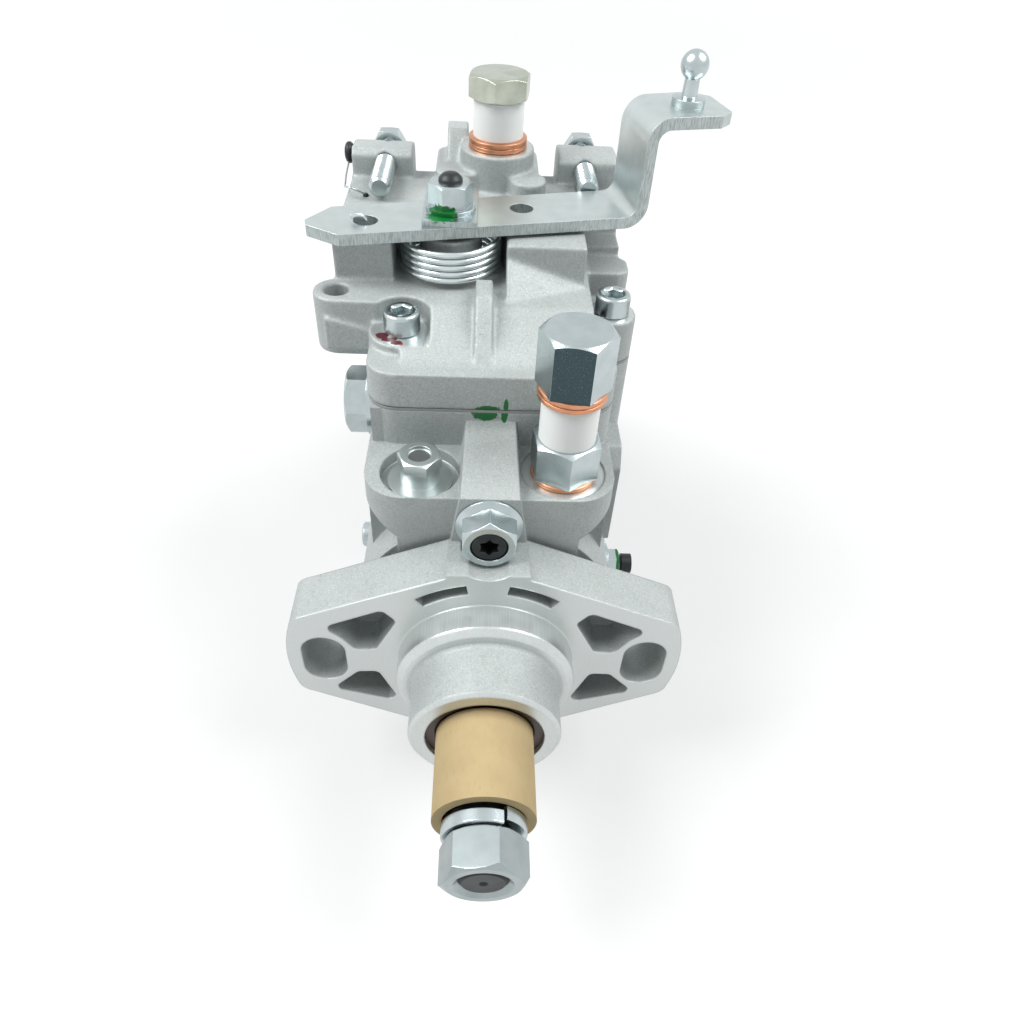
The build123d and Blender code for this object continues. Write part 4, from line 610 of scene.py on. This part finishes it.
def domedStud():
    mesh = nodes["throttle_shaft"].data.copy()
    shape = bmesh.new()
    shape.from_mesh(mesh)
    bmesh.ops.remove_doubles(shape, verts=shape.verts, dist=1e-6)
    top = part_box("throttle_shaft")[1].z
    tip = {vert for vert in shape.verts if vert.co.z > top - 1e-5}
    middle = sum((vert.co for vert in tip), Vector()) / len(tip)
    for vert in shape.verts:
        if vert.co.z > top - studLook["collar"] * mm:
            vert.co.z -= studLook["drop"] * mm
    faces = [face for face in shape.faces if tip.issuperset(face.verts)]
    last, base = 1.0, top - studLook["drop"] * mm
    for share, height in studLook["rings"]:
        grown = bmesh.ops.extrude_face_region(shape, geom=faces)["geom"]
        bmesh.ops.delete(shape, geom=faces, context="FACES_ONLY")
        faces = [item for item in grown if isinstance(item, bmesh.types.BMFace)]
        for vert in {vert for face in faces for vert in face.verts}:
            flat = middle.xy + (vert.co.xy - middle.xy) * share / last
            vert.co = (*flat, base + height * mm)
        last = share
    bmesh.ops.recalc_face_normals(shape, faces=shape.faces)
    shape.to_mesh(mesh)
    shape.free()
    return mesh


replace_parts(settle("domedStud", domedStud(), "black", "throttle"), "throttle_shaft")

# Sprung washer and nut on the drive shaft.
driveLook = {"inner": 6.2, "outer": 10.6, "thick": 3.5, "edge": 0.3, "rise": 1.25, "split": 62, "gap": 5, "steps": 72,
             "bore": 6.0, "chamfer": 1.3, "crown": 9.1, "corner": 10.97, "nutTurn": -18}  # mm and degrees
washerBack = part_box("spring_washer")[1].y / mm
nutFront, nutBack = (corner.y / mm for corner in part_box("shaft_nut"))


def splitWasher(shape):
    d = driveLook
    rings = []
    for k in range(d["steps"] + 1):
        part = k / d["steps"]
        turn = math.radians(d["split"] - d["gap"] / 2 - part * (360 - d["gap"]))
        back = washerBack - 0.02 - d["rise"] * part
        outer, inner, front, e = d["outer"], d["inner"], back - d["thick"], d["edge"]
        section = [(inner, back), (outer - e, back), (outer, back - e), (outer, front + e), (outer - e, front),
                   (inner, front)]
        rings.append([shape.verts.new(Vector((r * math.cos(turn), y, r * math.sin(turn))) * mm)
                      for r, y in section])
    for first, second in zip(rings, rings[1:]):
        for k in range(len(first)):
            nextK = (k + 1) % len(first)
            shape.faces.new([first[k], first[nextK], second[nextK], second[k]])
    shape.faces.new(rings[0])
    shape.faces.new(rings[-1])


def driveNut(shape):
    d = driveLook
    length, drop = nutBack - nutFront, (d["corner"] - d["crown"]) * math.tan(math.radians(30))
    ends = [(d["crown"] + (d["corner"] - d["crown"]) * k / 6, drop * k / 6, "nut") for k in range(7)]
    rows = [(d["bore"], d["chamfer"], "round"), (d["bore"] + d["chamfer"], 0, "round")] + ends
    rows += [(r, length - height, kind) for r, height, kind in reversed(ends)]
    rows += [(d["bore"] + d["chamfer"], length, "round"), (d["bore"], length - d["chamfer"], "round")]
    place = standing((0, nutBack, 0), (0, -1, 0)) @ Matrix.Rotation(math.radians(d["nutTurn"]), 4, "Z")
    turnRows(shape, place, rows + rows[:1], 96)


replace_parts(settle("splitWasher", fromFaces("splitWasher", splitWasher), "zinc", "shaft"), "spring_washer")
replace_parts(settle("driveNut", fromFaces("driveNut", driveNut), "dull", "shaft", 30), "shaft_nut")
print("drive end dressed")

# Floor, light and camera.
studio = {"floorZ": cadLow.z - 0.2 * mm, "floorSize": 6.0, "floor": (0.46, 0.465, 0.465),
          "glow": 0.46, "farGlow": 0.94, "fade": (0.5, 2.6),  # what the eye sees on the floor, near and far in metres
          "world": 0.28, "sky": (0.97, 0.99, 1.0), "boxSize": 0.9, "boxAim": (0, 0.06, 0.02),
          "boxes": {"leftBox": ((-1.0, -0.05, 1.25), 23), "rightBox": ((1.0, 0.0, 1.25), 18)}}


def floorFinish():
    f = Finish("whiteSheet")
    cloud = f.noise(60 * mm, 3, 0.5)
    far = f.add("ShaderNodeVectorMath", {"operation": "LENGTH"}, {0: f.place()}, "Value")
    level = studio["glow"] + f.step(far, *studio["fade"]) * (studio["farGlow"] - studio["glow"])
    f.put(Base_Color=f.blend(cloud, studio["floor"], [0.985 * c for c in studio["floor"]]), Roughness=0.9,
          Emission_Color=f.blend(f.seen() * level, (0, 0, 0), (1, 1, 1)), Emission_Strength=1.0)
    return f.material


half = studio["floorSize"] / 2
sheet = bpy.data.meshes.new("floorSheet")
sheet.from_pydata([(-half, -half, 0), (half, -half, 0), (half, half, 0), (-half, half, 0)], [], [(0, 1, 2, 3)])
floor = bpy.data.objects.new("floorSheet", sheet)
floor.location.z = studio["floorZ"]
scene.collection.objects.link(floor)
floor.data.materials.append(floorFinish())

scene.world = bpy.data.worlds.new("studioWorld")
sky = Finish("studioSky", scene.world)
back = sky.tree.nodes["Background"]
sky.feed(back.inputs["Color"], studio["sky"])
sky.feed(back.inputs["Strength"], sky.seen() * (1 - studio["world"]) + studio["world"])


for name, (spot, power) in studio["boxes"].items():
    lamp = bpy.data.lights.new(name, "AREA")
    lamp.shape, lamp.size, lamp.energy = "SQUARE", studio["boxSize"], power
    holder = bpy.data.objects.new(name, lamp)
    holder.location = spot
    holder.rotation_mode = "QUATERNION"
    holder.rotation_quaternion = (Vector(studio["boxAim"]) - Vector(spot)).to_track_quat("-Z", "Y")
    scene.collection.objects.link(holder)

# Camera: place in mm, angles in degrees, focal length in pixels of the picture.
view = {"spot": (-3.7, -137.2, 189.1), "pitch": 43.32, "yaw": 3.61, "roll": 3.72, "focal": 793.7, "picture": 1024,
        "sensor": 36, "clip": (0.005, 20)}
pitch, yaw, roll = (math.radians(view[k]) for k in ("pitch", "yaw", "roll"))
ahead = Vector((math.sin(yaw) * math.cos(pitch), math.cos(yaw) * math.cos(pitch), -math.sin(pitch)))
aside = Vector((math.cos(yaw), -math.sin(yaw), 0))
upright = aside.cross(ahead)
right = math.cos(roll) * aside + math.sin(roll) * upright
up = -math.sin(roll) * aside + math.cos(roll) * upright
lens = bpy.data.cameras.new("photoCamera")
lens.sensor_width, lens.lens = view["sensor"], view["sensor"] * view["focal"] / view["picture"]
lens.clip_start, lens.clip_end = view["clip"]
camera = bpy.data.objects.new("photoCamera", lens)
turned = Matrix((right, up, -ahead)).transposed().to_4x4()
camera.matrix_world = Matrix.Translation(Vector(view["spot"]) * mm) @ turned
scene.collection.objects.link(camera)
scene.camera = camera
print("camera and light set")
